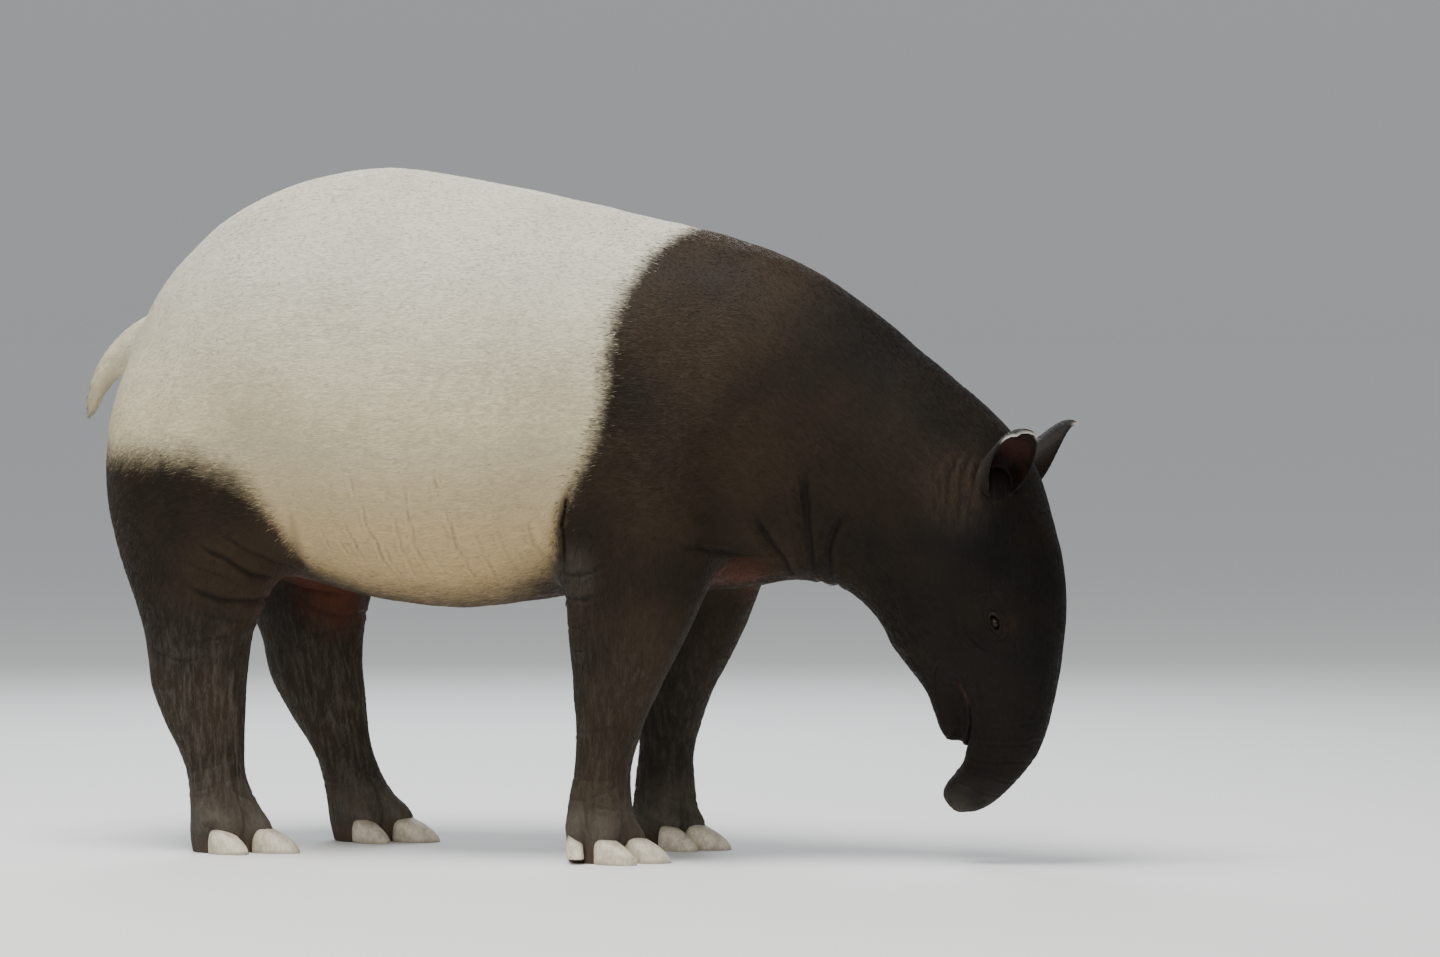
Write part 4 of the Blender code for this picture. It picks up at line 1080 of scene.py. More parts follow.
def bake_places(co):
    """Where each point lies on an unwrap of the skin: the trunk and head by their length and
    turn, over them the four legs by turn and height, and the ears and tail in the top corners."""
    at = unswung(co)
    x, z = co[:, 0], co[:, 2]
    along = off_line(co[:, [0, 2]], SPINE)[1]
    ahead = np.minimum(along + 0.01, 1.0) * (len(SPINE) - 1)
    low = np.clip(ahead.astype(int), 0, len(SPINE) - 2)
    middle = SPINE[low] + (SPINE[low + 1] - SPINE[low]) * (ahead - low)[:, None]
    step = SPINE[low + 1] - SPINE[low]
    step /= np.linalg.norm(step, axis=1, keepdims=True)
    rise = (x - middle[:, 0]) * -step[:, 1] + (z - middle[:, 1]) * step[:, 0]
    turn = np.arctan2(co[:, 1], rise) / (2 * math.pi) + 0.5
    u, v = 0.01 + 0.98 * along, 0.01 + 0.47 * turn
    fore = (at[:, 0] > 12) & (at[:, 0] < 50)
    on_leg = (z < 43) & (at[:, 1] > 3.5) & (fore | (at[:, 0] < -22)) & (at[:, 0] < 55)
    axis = np.where(fore, 24.5, -41.5)
    foot = np.where(fore, FOOT_Y, HIND_FOOT_Y)
    spin = np.arctan2(at[:, 1] - foot, at[:, 0] - axis) / (2 * math.pi) + 0.5
    column = np.where(fore, 0.0, 0.5) + np.where(co[:, 1] > 0, 0.25, 0.0)
    u = np.where(on_leg, column + 0.005 + 0.24 * spin, u)
    v = np.where(on_leg, 0.50 + 0.40 * z / 43, v)
    for side, start in ((-1, 0.01), (1, 0.26)):
        rise, across, out, here = ear_places(co, side)
        u = np.where(here, start + 0.05 * (across + 1) + np.where(out < -0.8, 0.12, 0.0), u)
        v = np.where(here, 0.905 + 0.08 * np.clip(rise, 0, 1.1), v)
    on_tail = (x < -61.5) & (z > 66) & (np.abs(co[:, 1]) < 3.4)
    u = np.where(on_tail, 0.55 + 0.08 * turn, u)
    v = np.where(on_tail, 0.905 + 0.08 * np.clip((86 - z) / 20, 0, 1), v)
    return np.stack([u, v], axis=1)


def coat_roots(skin, rng):
    """Places for the tufts spread over the skin, with their normals and marks."""
    mesh = skin.data
    mesh.calc_loop_triangles()
    corners = read(mesh.loop_triangles, "vertices", 3, np.int32)
    co = points_of(mesh)
    marks = read_marks(mesh)
    normal = normals_of(mesh)
    a, b, c = (co[corners[:, k]] for k in range(3))
    area = np.linalg.norm(np.cross(b - a, c - a), axis=1) / 2
    middle = (a + b + c) / 3
    mean = marks[corners].mean(axis=1)
    at = on_left(mean)
    length = hair_length(at, mean[:, 6], mean[:, 8], on_ears(middle))
    share = area / length**1.25
    share *= 1 - 0.85 * np.clip(mean[:, 4], 0, 1)
    share[middle[:, 2] < 0.35] = 0
    chance = np.cumsum(share)
    picked = np.searchsorted(chance, np.sort(rng.random(TUFTS)) * chance[-1])
    picked = np.minimum(picked, len(share) - 1)
    t = rng.random((TUFTS, 2))
    root = np.sqrt(t[:, :1])
    weight = np.hstack([1 - root, root * (1 - t[:, 1:]), root * t[:, 1:]])[:, :, None]
    spots = corners[picked]
    found = [np.sum(values[spots] * weight, axis=1) for values in (co, normal, marks)]
    keep = in_the_open(found[0], found[2])
    return [values[keep] for values in found]


def in_the_open(co, marks):
    """False for roots on bare skin, in a hoof, between the lids or at the rim of an ear."""
    keep = marks[:, 4] < 0.9
    trees = hoof_trees()
    for i in np.where(co[:, 2] < 7)[0]:
        for tree in trees:
            spot, out, _, _ = tree.find_nearest(Vector(co[i]), 1.5)
            if spot is not None and (Vector(co[i]) - spot).dot(out) < 0.12:
                keep[i] = False
                break
    for side in (-1, 1):
        near = np.where(off_point(co, eye_centre(side)) < 2.6)[0]
        u, v, _ = eye_places(co[near], side).T
        keep[near[lid_gap(u, v) < 0.22]] = False
        leaf, rim = ear_leaf(side)
        leaf.free()
        line = np.array(ear_axes(side)[0])
        up = (co - np.array(mirrored(EAR_ROOT, side))) @ line / EAR_LENGTH
        near = np.where((up > 0.25) & (co[:, 0] > 82) & (co[:, 1] * side > 8))[0]
        keep[near[off_line(co[near], rim)[0] < 0.6]] = False
    return keep


COAT_PARTS = {
    "coat_head_right": lambda x, y, z, leg: (x > 68) & (leg < 0.5) & (y < 0),
    "coat_head_left": lambda x, y, z, leg: (x > 68) & (leg < 0.5),
    "coat_legs_front": lambda x, y, z, leg: (leg >= 0.5) & (x > -8),
    "coat_legs_hind": lambda x, y, z, leg: (leg >= 0.5) & (x <= -8),
    "coat_neck": lambda x, y, z, leg: x > 38,
    "coat_shoulder_right": lambda x, y, z, leg: (x > 12) & (y < 0),
    "coat_shoulder_left": lambda x, y, z, leg: x > 12,
    "coat_flank_right": lambda x, y, z, leg: (x > -24) & (y < 0),
    "coat_flank_left": lambda x, y, z, leg: x > -24,
    "coat_rump_right": lambda x, y, z, leg: y < 0,
    "coat_rump_left": lambda x, y, z, leg: y >= 0,
}


def make_coat(skin, material):
    """Short flat tufts over the whole skin, as closed darts of four faces in joined pieces."""
    rng = np.random.default_rng(11)
    co, normal, marks = coat_roots(skin, rng)
    normal /= np.linalg.norm(normal, axis=1, keepdims=True)
    count = len(co)
    at = on_left(marks)
    leg, neck, face = marks[:, 6:9].T
    length = hair_length(at, leg, face, on_ears(co)) * rng.uniform(0.7, 1.3, count)
    way = hair_way(at, normal, leg, neck, face)
    across = np.cross(normal, way)
    swing = rng.normal(0, 0.16, count)[:, None]
    way = way * np.cos(swing) + across * np.sin(swing)
    across = np.cross(normal, way)
    folds = [fold_push(co + way * (t * length)[:, None], normal)[1] for t in (0.5, 0.95)]
    length *= 1 - 0.5 * np.minimum(1.5 * np.maximum(*folds), 1)
    width = (0.055 + 0.085 * length) * rng.uniform(0.75, 1.25, count)
    lift = length * (0.05 + (0.10 - 0.06 * face) * rng.random(count) ** 2)
    half = across * (width / 2)[:, None]
    corner = np.empty((count, 4, 3))
    corner[:, 0] = co - half - normal * 0.03
    corner[:, 1] = co + half - normal * 0.03
    corner[:, 2] = co + normal * (0.25 * width + 0.01)[:, None] + way * (0.3 * length)[:, None]
    corner[:, 3] = co + way * length[:, None] + normal * lift[:, None]
    corner[:, :, 2] = np.maximum(corner[:, :, 2], 0.05)
    tone = np.clip(0.5 + 0.22 * rng.normal(0, 1, count), 0, 1)
    spread = rng.normal(0, 1, (count, 3)) * (0.85 - 0.6 * face - 0.45 * leg)[:, None]
    marks[:, :3] += spread
    patch = bake_places(co)[:, None, :] + np.array(((0, 0), (3, 0), (1.5, 1.5), (1.5, 3))) * 1e-3
    patch = np.clip(patch, 0.0, 1.0)
    faces = np.array(((0, 1, 3), (1, 2, 3), (2, 0, 3), (0, 2, 1)))
    taken = np.zeros(count, bool)
    for name, here in COAT_PARTS.items():
        mine = here(co[:, 0], co[:, 1], co[:, 2], leg) & ~taken
        taken |= mine
        n = int(mine.sum())
        mesh = bpy.data.meshes.new(name)
        mesh.vertices.add(n * 4)
        mesh.loops.add(n * 12)
        mesh.polygons.add(n * 4)
        index = (np.arange(n) * 4)[:, None, None] + faces
        mesh.vertices.foreach_set("co", corner[mine].astype(np.float32).ravel())
        mesh.loops.foreach_set("vertex_index", index.astype(np.int32).ravel())
        mesh.polygons.foreach_set("loop_start", (np.arange(n * 4) * 3).astype(np.int32))
        mesh.update(calc_edges=True)
        many = np.repeat(marks[mine], 4, axis=0)
        add_marks(mesh, many[:, :3], *many[:, 3:6].T, many[:, 6:9].T)
        store(mesh, "tone", "FLOAT", np.repeat(tone[mine], 4))
        layer = mesh.uv_layers.new(name="OFBake")
        layer.uv.foreach_set("vector", patch[mine][:, faces].astype(np.float32).ravel())
        mesh.materials.append(material)
        item = bpy.data.objects.new(name, mesh)
        bpy.context.scene.collection.objects.link(item)
        into_row(item)
        lean = np.repeat(normal[mine], 4, axis=0)
        mesh.normals_split_custom_set_from_vertices(lean.astype(np.float32))


class Shader:
    """A material's nodes, made by short calls. Arguments are sockets or plain values."""

    def __init__(self, name):
        self.material = bpy.data.materials.new(name)
        self.material.use_nodes = True
        self.tree = self.material.node_tree
        self.main = self.tree.nodes["Principled BSDF"]

    def put(self, socket, value):
        if isinstance(value, bpy.types.NodeSocket):
            self.tree.links.new(value, socket)
        else:
            socket.default_value = value

    def use(self, **values):
        """Puts values into the surface's own sockets, whose names have _ for each space."""
        for name, value in values.items():
            self.put(self.main.inputs[name.replace("_", " ")], value)

    def add(self, kind, *values, **settings):
        """A new node with these settings, and these values in its first sockets."""
        made = self.tree.nodes.new("ShaderNode" + kind)
        for name, value in settings.items():
            setattr(made, name, value)
        for socket, value in zip(made.inputs, values):
            self.put(socket, value)
        return made

    def mark(self, name):
        return self.add("Attribute", attribute_name=name)

    def math(self, operation, *values):
        return self.add("Math", *values, operation=operation).outputs[0]

    def plus(self, a, b):
        return self.math("ADD", a, b)

    def minus(self, a, b):
        return self.math("SUBTRACT", a, b)

    def times(self, a, b):
        return self.math("MULTIPLY", a, b)

    def scaled(self, vector, factors):
        return self.add("VectorMath", vector, factors, operation="MULTIPLY").outputs[0]

    def joined(self, *parts):
        return self.add("CombineXYZ", *parts).outputs[0]

    def length(self, vector):
        return self.add("VectorMath", vector, operation="LENGTH").outputs["Value"]

    def parts(self, vector):
        return self.add("SeparateXYZ", vector).outputs

    def mix(self, share, a, b):
        made = self.add("Mix", share, data_type="RGBA", clamp_factor=True)
        for socket, value in zip(made.inputs[6:8], (a, b)):
            self.put(socket, value if isinstance(value, bpy.types.NodeSocket) else (*value, 1.0))
        return made.outputs[2]

    def painted(self, colour, *layers):
        """A colour under layers of others, each with its share."""
        for share, over in layers:
            colour = self.mix(share, colour, over)
        return colour

    def blend(self, share, a, b):
        made = self.add("Mix", share, data_type="FLOAT", clamp_factor=True)
        for socket, value in zip(made.inputs[2:4], (a, b)):
            self.put(socket, value)
        return made.outputs[0]

    def noise(self, vector, scale, detail, roughness):
        made = self.add("TexNoise", vector)
        for name, value in (("Scale", scale), ("Detail", detail), ("Roughness", roughness)):
            made.inputs[name].default_value = value
        return made.outputs["Fac"]

    def cells(self, vector, scale):
        made = self.add("TexVoronoi", vector)
        made.inputs["Scale"].default_value = scale
        return made.outputs["Distance"]

    def ramp(self, value, low, high, start=0.0, end=1.0, kind="SMOOTHSTEP"):
        return self.add("MapRange", value, low, high, start, end, interpolation_type=kind).outputs[0]

    def curve(self, value, points, low, high, bottom, top):
        """A smooth curve through points, read at value, with its two ranges given."""
        made = self.add("FloatCurve")
        line = made.mapping.curves[0]
        spots = [((x - low) / (high - low), (y - bottom) / (top - bottom)) for x, y in points]
        for spot in spots[1:-1]:
            line.points.new(*spot)
        line.points[0].location = spots[0]
        line.points[-1].location = spots[-1]
        made.mapping.update()
        self.put(made.inputs["Value"], self.ramp(value, low, high, kind="LINEAR"))
        return self.ramp(made.outputs[0], 0.0, 1.0, bottom, top, "LINEAR")

    def ball(self, place, middle, radius, soft):
        """1 near a point given for the left side, on both sides, to 0 past radius plus soft."""
        x, y, z = self.parts(place)
        folded = self.joined(x, self.math("ABSOLUTE", y), z)
        off = self.add("VectorMath", folded, middle, operation="DISTANCE")
        return self.ramp(off.outputs["Value"], radius, radius + soft, 1.0, 0.0)

    def bump(self, height, distance, strength, under=None):
        made = self.add("Bump")
        made.inputs["Distance"].default_value = distance
        made.inputs["Strength"].default_value = strength
        self.put(made.inputs["Height"], height)
        if under is not None:
            self.put(made.inputs["Normal"], under)
        return made.outputs[0]


SADDLE_FRONT = [
    (38, 14.0), (41, 14.8), (45, 16.0), (48.5, 16.9), (54.6, 18.7), (60.8, 22.3), (67, 24.8),
    (71.6, 25.7), (77.8, 26.1), (87, 27.1), (92, 29.4), (95.4, 31.6), (98.9, 34.8), (104, 37.5),
]
SADDLE_LOW = [
    (-70, 63.0), (-47.3, 63.5), (-41.3, 62.8), (-36.3, 61.2), (-32.1, 58.1), (-29.2, 54.2),
    (-27.0, 49.6), (-24.5, 45.7), (-19.5, 43.1), (-12.8, 41.6), (-5, 40.8), (3, 41.2),
    (10, 43.6), (16, 47.4), (22, 53.5),
]
# The pale hide from its back down to its belly. The lower colours are darker and warmer: partly
# soiling, partly painted shade and painted warm bounce light from below.
PALE_HIGH = (0.54, 0.515, 0.425)
PALE_MID = (0.53, 0.475, 0.315)
PALE_LOW = (0.460, 0.335, 0.165)
PALE_DARK = (0.20, 0.160, 0.11)
PALE_BROWN = (0.36, 0.27, 0.19)
BLACK = (0.0052, 0.0038, 0.0026)
BROWN = (0.0140, 0.0088, 0.0048)
BODY_BROWN = (0.042, 0.027, 0.0145)
# Painted shade on the head.
HEAD_SHADE = (0.0032, 0.0026, 0.0019)
HAIR_TIPS = (0.024, 0.020, 0.016)
EAR_BACK = (0.042, 0.027, 0.016)
DUST = (0.125, 0.110, 0.088)
# Painted sheen on the lower legs.
LEG_SHEEN = (0.095, 0.086, 0.070)
RED_SKIN = (0.085, 0.025, 0.012)
CALLUS = (0.050, 0.044, 0.037)
LID_BROWN = (0.024, 0.0125, 0.0080)
SOLE = (0.080, 0.040, 0.024)
TAIL_GREY = (0.06, 0.05, 0.042)
# Painted shade in folds, slits and hollows: on black hide, on pale hide, and in the deepest slits.
SHADOW_BLACK = (0.0030, 0.0024, 0.0020)
SHADOW_PALE = (0.17, 0.115, 0.07)
SLIT_SHADE = (0.012, 0.007, 0.005)
CUP_DARK = (0.010, 0.0055, 0.004)
CUP_RED = (0.032, 0.012, 0.0085)
# Painted shade deep in the bare hollows.
CUP_SHADE = (0.0022, 0.0016, 0.0014)
PINK = (0.22, 0.11, 0.085)
EAR_WHITE = (0.60, 0.57, 0.51)
HORN = (0.68, 0.62, 0.49)
HORN_STREAK = (0.50, 0.435, 0.32)
HORN_STAIN = (0.24, 0.20, 0.15)
HORN_TOP = (0.13, 0.105, 0.085)
HORN_FOOT = (0.24, 0.20, 0.155)
IRIS = (0.010, 0.005, 0.003)
IRIS_FIBRE = (0.022, 0.011, 0.006)
IRIS_RIM = (0.004, 0.003, 0.003)
PUPIL = (0.002, 0.002, 0.002)
EYE_EDGE = (0.020, 0.011, 0.008)


def hide_material(name, coat):
    """The hide's or the coat's material, whose markings both read from the same marks."""
    shader = Shader(name)
    place = shader.mark("place").outputs["Vector"]
    tint_and_shade = shader.parts(shader.mark("tint_and_shade").outputs["Vector"])
    lie = shader.parts(shader.mark("lie").outputs["Vector"])
    x, _, z = shader.parts(place)

    # Fine noise drawn out along the hair: backwards on the trunk, along the neck, and up or down.
    along_trunk = shader.scaled(place, (0.12, 1.0, 1.0))
    tilt = shader.add("VectorRotate", place, rotation_type="Y_AXIS")
    tilt.inputs["Angle"].default_value = math.radians(-42)
    along_neck = shader.scaled(tilt.outputs[0], (0.14, 1.0, 1.0))
    along_leg = shader.scaled(place, (1.0, 1.0, 0.14))
    upright = shader.math("MAXIMUM", lie[0], lie[2])

    def hairs(scale, detail):
        found = shader.noise(along_trunk, scale, detail, 0.6)
        found = shader.blend(lie[1], found, shader.noise(along_neck, scale, detail, 0.6))
        return shader.blend(upright, found, shader.noise(along_leg, scale, detail, 0.6))

    strands = hairs(5.5, 2.0)
    locks = hairs(1.5, 2.0)
    broad = shader.noise(place, 0.055, 3.0, 0.55)
    mid = shader.noise(place, 0.22, 3.0, 0.6)

    ahead = shader.minus(shader.curve(z, SADDLE_FRONT, 38, 104, 10, 40), x)
    above = shader.minus(z, shader.curve(x, SADDLE_LOW, -70, 22, 38, 66))
    above = shader.times(above, 0.52)
    edge = shader.math("MINIMUM", ahead, above)
    stray = shader.times(shader.minus(strands, 0.5), 1.8)
    stray = shader.plus(stray, shader.times(shader.minus(locks, 0.5), 0.9))
    stray = shader.plus(stray, shader.times(shader.minus(mid, 0.5), 2.2))
    pale = shader.ramp(shader.plus(edge, stray), -2.1, 2.1)

    pepper = shader.times(shader.ramp(strands, 0.42, 0.66, 1.0, 0.0), 0.13)
    # Partly soiling and partly painted shade and bounce light: the pale hide darkens and warms towards
    # the belly, and browns low on the flank.
    low_flank = shader.times(shader.ramp(z, 58, 42), shader.ramp(mid, 0.35, 0.7))
    pale_colour = shader.painted(
        PALE_LOW,
        (shader.ramp(z, 44, 70), PALE_MID),
        (shader.ramp(z, 66, 98), PALE_HIGH),
        (pepper, PALE_DARK),
        (shader.ramp(broad, 0.45, 0.75, 0.0, 0.16), PALE_DARK),
        (shader.times(low_flank, 0.22), PALE_BROWN),
    )

    warm = shader.times(shader.ramp(x, 68, 50), shader.ramp(broad, 0.3, 0.7, 0.22, 0.48))
    behind_ear = shader.ball(place, (79.0, 11.0, 59.0), 3.0, 7.0)
    behind_ear = shader.times(behind_ear, shader.ramp(locks, 0.3, 0.7, 0.1, 0.6))
    low_leg = shader.times(shader.ramp(z, 15, 2, 0.0, 0.6), shader.ramp(mid, 0.3, 0.65, 0.35, 1.0))
    # Painted sheen: the lower legs, the hind ones most, turn silvery in streaks, as if light glanced
    # along the hair.
    leg_sheen = shader.times(shader.ramp(z, 46, 22), shader.ramp(locks, 0.4, 0.7, 0.05, 0.50))
    leg_sheen = shader.times(leg_sheen, shader.times(lie[0], shader.ramp(x, 8, -16, 0.5, 1.0)))
    black_colour = shader.painted(
        BLACK,
        (shader.ramp(broad, 0.35, 0.68), BROWN),
        (shader.ramp(strands, 0.5, 0.8, 0.0, 0.4), HAIR_TIPS),
        (warm, BODY_BROWN),
        # Painted shade: the head darkens towards the snout.
        (shader.ramp(x, 68, 80, 0.0, 0.5), HEAD_SHADE),
        (behind_ear, EAR_BACK),
        (low_leg, DUST),
        (leg_sheen, LEG_SHEEN),
    )

    groin = shader.ball(place, (-34.5, 6.0, 40.8), 3.6, 7.6)
    armpit = shader.ball(place, (44.0, 8.5, 41.2), 2.6, 5.0)
    thin = shader.math("MAXIMUM", groin, armpit)
    thin = shader.times(thin, shader.ramp(mid, 0.3, 0.65, 0.40, 0.85))
    callus = shader.ball(place, (20.5, 18.5, 44.5), 2.0, 4.5)
    callus = shader.times(callus, shader.ramp(locks, 0.3, 0.65, 0.25, 0.6))
    by_eye = shader.ball(place, (87.3, 8.3, 37.4), 0.7, 1.8)
    soles = shader.times(shader.ramp(z, 4.2, 1.4, 0.0, 0.45), shader.ramp(mid, 0.25, 0.6, 0.4, 1.0))
    # Painted shade: the folds, the mouth's slit and the ear's pit darken with their depth, to near
    # black in the deepest slits.
    slit = shader.ramp(tint_and_shade[2], 0.55, 0.85)
    shadow = shader.painted(SHADOW_BLACK, (pale, SHADOW_PALE), (slit, SLIT_SHADE))
    dark = shader.times(tint_and_shade[2], shader.blend(pale, 0.85, 0.65))
    dark = shader.plus(dark, shader.times(slit, 0.3))
    inside = shader.painted(
        CUP_DARK,
        (shader.ramp(mid, 0.35, 0.65), CUP_RED),
        # Painted shade: deep in the ear's cup, its pit and the mouth's slit the bare skin darkens
        # nearly to black.
        (shader.times(tint_and_shade[2], 0.92), CUP_SHADE),
        (shader.ball(place, (79.2, 5.0, 26.6), 1.0, 2.2), PINK),
    )
    colour = shader.painted(
        black_colour,
        (pale, pale_colour),
        (thin, RED_SKIN),
        (callus, CALLUS),
        (shader.times(by_eye, 0.4), LID_BROWN),
        (soles, SOLE),
        (shader.ramp(x, -67.0, -70.5, 0.0, 0.8), TAIL_GREY),
        (dark, shadow),
        (shader.times(tint_and_shade[1], 0.85), inside),
        (shader.times(tint_and_shade[0], shader.ramp(strands, 0.25, 0.6, 0.7, 1.0)), EAR_WHITE),
    )
    if coat:
        tone = shader.mark("tone").outputs["Fac"]
        dim, bright = shader.blend(pale, 0.6, 0.87), shader.blend(pale, 1.45, 1.12)
        scaled = shader.add("VectorMath", colour, operation="SCALE")
        shader.put(scaled.inputs["Scale"], shader.ramp(tone, 0.0, 1.0, dim, bright, "LINEAR"))
        colour = scaled.outputs[0]
    shader.use(Base_Color=colour)

    wet = shader.math("MAXIMUM", tint_and_shade[1], shader.ball(place, (75.6, 0.0, 9.5), 1.2, 2.6))
    rough = shader.blend(pale, 0.56, 0.74)
    rough = shader.plus(rough, shader.times(shader.minus(mid, 0.5), 0.2))
    shader.use(Roughness=shader.blend(wet, rough, 0.42))
    shader.use(Specular_IOR_Level=0.10, Sheen_Weight=0.03, Sheen_Roughness=0.45)
    shader.use(Sheen_Tint=(0.80, 0.82, 0.86, 1.0))
    if not coat:
        haired = shader.minus(1.0, shader.times(tint_and_shade[1], 0.8))
        grain = shader.cells(place, 4.5)
        normal = shader.bump(grain, 0.0004, 0.35)
        normal = shader.bump(locks, 0.0022, 0.55, normal)
        normal = shader.bump(shader.times(strands, haired), 0.0016, 0.8, normal)
        shader.use(Normal=normal)
    return shader.material


def hoof_block(toe, tip, way, segments, rings):
    """A hoof's rounded block with its growth rings and worn edge, before the floor cuts it."""
    side = Vector((0, 0, 1)).cross(way)
    radii = np.array((toe.length / 2, toe.width / 2, toe.height * HOOF_ABOVE))
    body = ball((0, 0, 0), (1, 1, 1), None, segments, rings)
    low = toe.height * HOOF_MIDDLE
    unit = np.array([v.co for v in body.verts])
    co = np.sign(unit) * np.abs(unit) ** HOOF_SQUARE * radii
    ahead = 2 * co[:, 0] / toe.length
    normal = unit / radii
    normal /= np.linalg.norm(normal, axis=1, keepdims=True)
    slant = co[:, 2] + 0.55 * co[:, 0]
    seed = co + np.array(tip)
    growth = 0.022 * np.sin(slant * 11.0 + 1.5 * noise(seed, 1.4, 3)) * ramp(co[:, 2], -1.5, 0.5)
    worn = 0.10 * noise(seed, 0.7, 4) * ramp(-co[:, 2], 0.3, 1.6) * ramp(ahead, 0.2, 0.9)
    co += normal * (growth + worn + 0.05 * noise(seed, 1.1, 6))[:, None]
    for vert, (x, y, z) in zip(body.verts, co):
        lean = 2 * x / toe.length
        z *= 0.74 - 0.30 * lean
        x -= HOOF_SLOPE * (z + low) * (0.5 + 0.5 * lean)
        y *= 0.95 - 0.20 * max(0.0, lean)
        vert.co = tip + way * (x - toe.length * 0.48) + side * y + Vector((0, 0, z + low))
    return body


def flat_soled(body, level):
    """The part of a bmesh above a level, closed by a flat sole."""
    cut = bmesh.ops.bisect_plane(
        body,
        geom=body.verts[:] + body.edges[:] + body.faces[:],
        plane_co=(0, 0, level + 0.02),
        plane_no=(0, 0, 1),
        clear_inner=True,
    )
    rim = [e for e in cut["geom_cut"] if isinstance(e, bmesh.types.BMEdge)]
    bmesh.ops.contextual_create(body, geom=rim)
    # The last digits of a cut change from run to run, so each place is rounded to a micron.
    for vert in body.verts:
        vert.co = [round(c, 4) for c in vert.co]
    bmesh.ops.recalc_face_normals(body, faces=body.faces)
    return in_order(body)


def horn_material():
    shader = Shader("hoof_horn")
    place = shader.add("TexCoord").outputs["Object"]
    centimetres = shader.scaled(place, (100.0, 100.0, 100.0))
    z = shader.parts(centimetres)[2]
    streaks = shader.noise(shader.scaled(centimetres, (3.0, 3.0, 0.5)), 1.6, 4.0, 0.65)
    blotches = shader.noise(centimetres, 0.55, 4.0, 0.6)
    rings = shader.noise(shader.scaled(centimetres, (0.6, 0.6, 6.0)), 0.9, 3.0, 0.6)
    colour = shader.painted(
        HORN,
        (shader.ramp(streaks, 0.35, 0.7), HORN_STREAK),
        (shader.ramp(blotches, 0.42, 0.66, 0.0, 0.5), HORN_STAIN),
        (shader.ramp(z, 2.4, 4.6, 0.0, 0.7), HORN_TOP),
        (shader.ramp(z, 0.8, 0.0, 0.0, 0.45), HORN_FOOT),
    )
    shader.use(Base_Color=colour)
    shader.use(Roughness=shader.ramp(blotches, 0.3, 0.7, 0.42, 0.66))
    normal = shader.bump(rings, 0.0006, 0.5)
    normal = shader.bump(streaks, 0.0005, 0.6, normal)
    shader.use(Normal=normal)
    return shader.material


def eye_material(name):
    """A dark brown eye with a darker, level pupil, under a clear wet layer."""
    shader = Shader(name)
    u, v, _ = shader.parts(shader.mark("place").outputs["Vector"])
    off = shader.length(shader.joined(u, v))
    oval = shader.length(shader.joined(u, shader.times(v, 1.5)))
    ray = shader.joined(shader.times(shader.math("ARCTAN2", v, u), 9.0), off)
    fibres = shader.noise(ray, 1.4, 3.0, 0.6)
    colour = shader.painted(
        IRIS,
        (shader.ramp(fibres, 0.35, 0.7), IRIS_FIBRE),
        (shader.ramp(off, 0.72, 0.92), IRIS_RIM),
        (shader.ramp(oval, 0.30, 0.38, 1.0, 0.0), PUPIL),
        (shader.ramp(off, 0.92, 1.12), EYE_EDGE),
    )
    shader.use(Base_Color=colour, Roughness=0.12, Specular_IOR_Level=0.15)
    shader.use(Coat_Weight=0.12, Coat_Roughness=0.03)
    return shader.material


def make_eye(side):
    """An eyeball with a low clear dome over its iris, in centimetres."""
    body = in_order(ball((0, 0, 0), (EYE_RADIUS,) * 3, None, 64, 48))
    places = []
    turn = eye_turn(side)
    for vert in body.verts:
        off = math.hypot(vert.co.x, vert.co.y)
        if vert.co.z > 0:
            vert.co.z += 0.07 * max(0.0, 1 - (off / 0.95) ** 2) ** 1.5
        places.append(tuple(vert.co))
        vert.co = eye_centre(side) + turn @ vert.co
    name = "eyeball_right" if side < 0 else "eyeball_left"
    item = as_object(name, body)
    store(item.data, "place", "FLOAT_VECTOR", places)
    item.data.materials.append(eye_material(name))
    return item


def row_offset():
    """Where the design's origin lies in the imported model's frame, from the middles of the eyes."""
    middle = Vector()
    for node in ("eye_right", "eye_left"):
        low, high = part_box(node)
        middle += (low + high) / 4
    return middle - Vector((EYE_X, 0.0, EYE_Z)) * CM


OFFSET = row_offset()


def into_row(item):
    """Moves a piece from the design's centimetres into the row frame, with smooth faces."""
    item.data.transform(Matrix.Translation(OFFSET) @ Matrix.Scale(CM, 4))
    item.data.shade_smooth()
    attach(item, "root")
    return item


FLESH = [
    "torso", "hindquarters", "neck", "head", "snout", "lower_jaw", "tail", "ear_right", "ear_left",
    "leg_front_right", "leg_front_left", "leg_hind_right", "leg_hind_left",
    "foot_front_right", "foot_front_left", "foot_hind_right", "foot_hind_left",
]

skin = make_skin()
make_coat(skin, hide_material("coat", True))
skin.data.materials.clear()
skin.data.materials.append(hide_material("hide", False))
into_row(skin)
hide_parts(*FLESH)

horn = horn_material()
for foot in ("front_right", "front_left", "hind_right", "hind_left"):
    toes = [t for t in foot_toes() if t[0] == foot]
    blocks = [flat_soled(hoof_block(toe, tip, way, 48, 32), toe.lift) for _, toe, tip, way in toes]
    hooves = as_object(f"hooves_{foot}", join(blocks))
    hooves.data.materials.append(horn)
    into_row(hooves)
    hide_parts(*[f"hoof_{foot}_{toe.name}" for _, toe, _, _ in toes])

for side, node in ((-1, "eye_right"), (1, "eye_left")):
    eye = into_row(make_eye(side))
    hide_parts(node)


def make_floor():
    bpy.ops.mesh.primitive_plane_add(size=900, location=(0, 0, 0))
    floor = bpy.context.object
    floor.name = "floor"
    shader = Shader("studio_floor")
    shader.use(Base_Color=(0.75, 0.75, 0.75, 1.0), Roughness=0.85)
    floor.data.materials.append(shader.material)


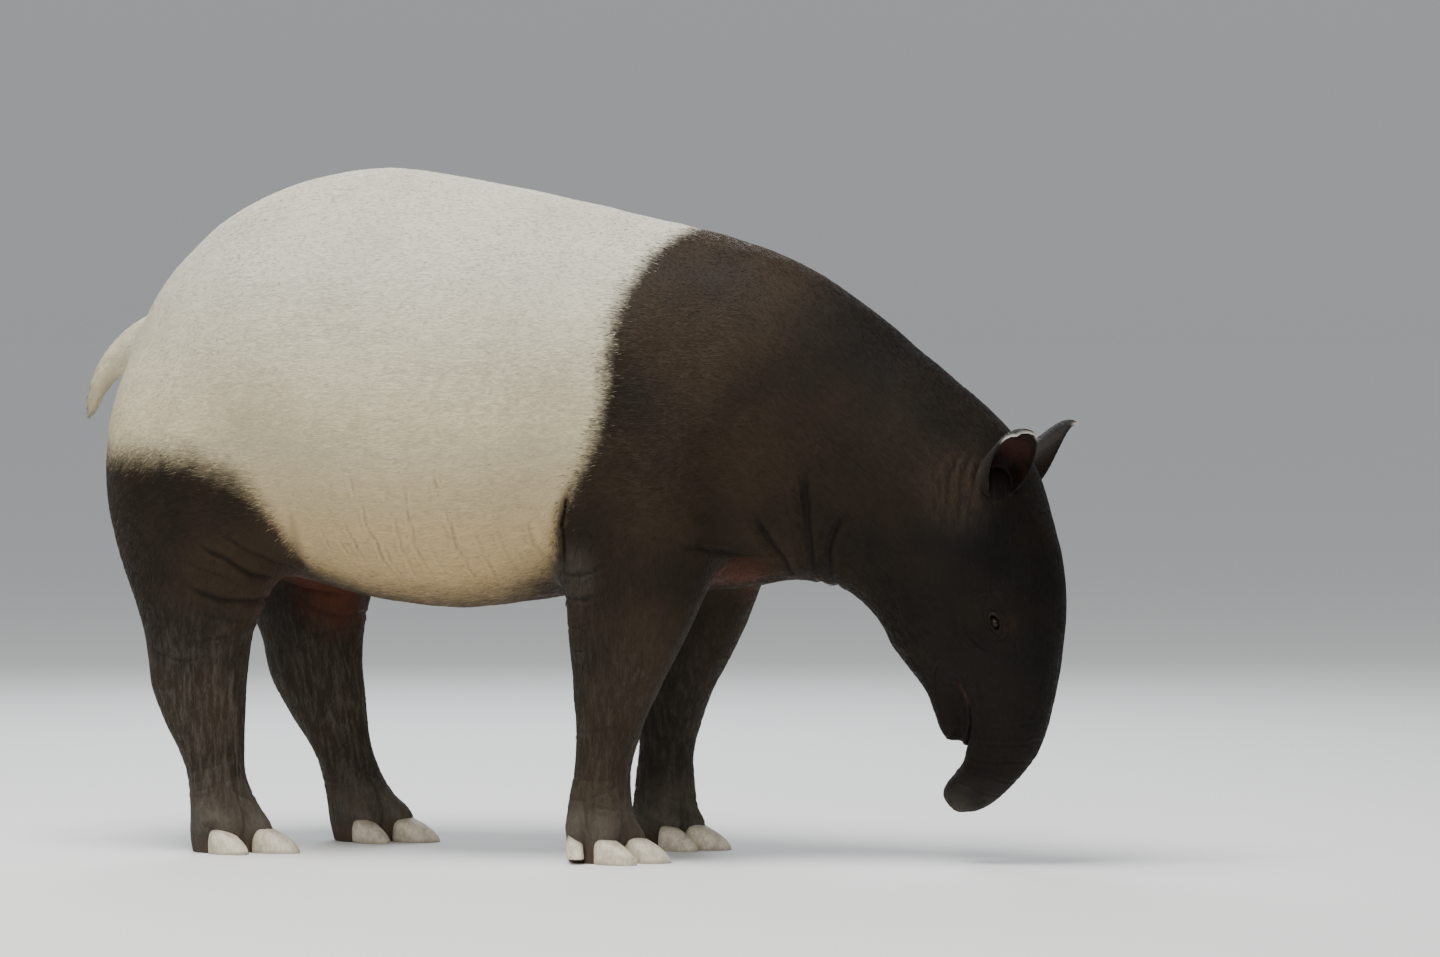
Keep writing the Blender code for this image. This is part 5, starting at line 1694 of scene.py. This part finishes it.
def make_light(name, place, aim, size, watts, colour):
    light = bpy.data.lights.new(name, "AREA")
    light.shape = "DISK"
    light.size = size
    light.energy = watts
    light.color = colour
    item = bpy.data.objects.new(name, light)
    item.location = place
    item.rotation_mode = "QUATERNION"
    item.rotation_quaternion = (Vector(aim) - Vector(place)).to_track_quat("-Z", "Y")
    bpy.context.scene.collection.objects.link(item)


make_floor()
make_light("overhead", (-0.4, -1.2, 4.6), (0, 0, 0.5), 2.6, 330, (1.0, 0.98, 0.95))
make_light("near_fill", (1.6, -5.0, 2.9), (0.1, 0, 0.5), 2.4, 105, (1.0, 0.97, 0.93))
make_light("far_rim", (-1.6, 3.6, 3.2), (0, 0, 0.8), 2.4, 130, (0.90, 0.95, 1.0))
world = bpy.data.worlds.new("studio")
world.use_nodes = True
# The sky is half as bright again overhead, so that the far floor looks the same as the horizon.
horizon = 0.36
background = world.node_tree.nodes["Background"]
background.inputs["Color"].default_value = (0.95, 0.98, 1.0, 1.0)
sky_way = world.node_tree.nodes.new("ShaderNodeTexCoord").outputs["Generated"]
sky_parts = world.node_tree.nodes.new("ShaderNodeSeparateXYZ")
sky_rise = world.node_tree.nodes.new("ShaderNodeMapRange")
sky_rise.inputs["To Min"].default_value = horizon
sky_rise.inputs["To Max"].default_value = horizon * 1.5
world.node_tree.links.new(sky_way, sky_parts.inputs[0])
world.node_tree.links.new(sky_parts.outputs[2], sky_rise.inputs["Value"])
world.node_tree.links.new(sky_rise.outputs[0], background.inputs["Strength"])
bpy.context.scene.world = world

# The photograph's camera: its angles, its distance from the point it looks at, and its lens.
AZIMUTH = math.radians(18.0)
ELEVATION = math.radians(1.3)
DISTANCE = 10.0
AIM = Vector((0.38, 0.0, 0.592))
LENS = 160.086
back = Vector(
    (
        math.sin(AZIMUTH) * math.cos(ELEVATION),
        -math.cos(AZIMUTH) * math.cos(ELEVATION),
        math.sin(ELEVATION),
    )
)
camera = bpy.data.objects.new("camera", bpy.data.cameras.new("camera"))
camera.data.lens = LENS
camera.data.sensor_width = 36.0
camera.location = AIM + Vector((OFFSET.x, OFFSET.y, OFFSET.z)) + back * DISTANCE
camera.rotation_mode = "QUATERNION"
camera.rotation_quaternion = (-back).to_track_quat("-Z", "Y")
bpy.context.scene.collection.objects.link(camera)
bpy.context.scene.camera = camera
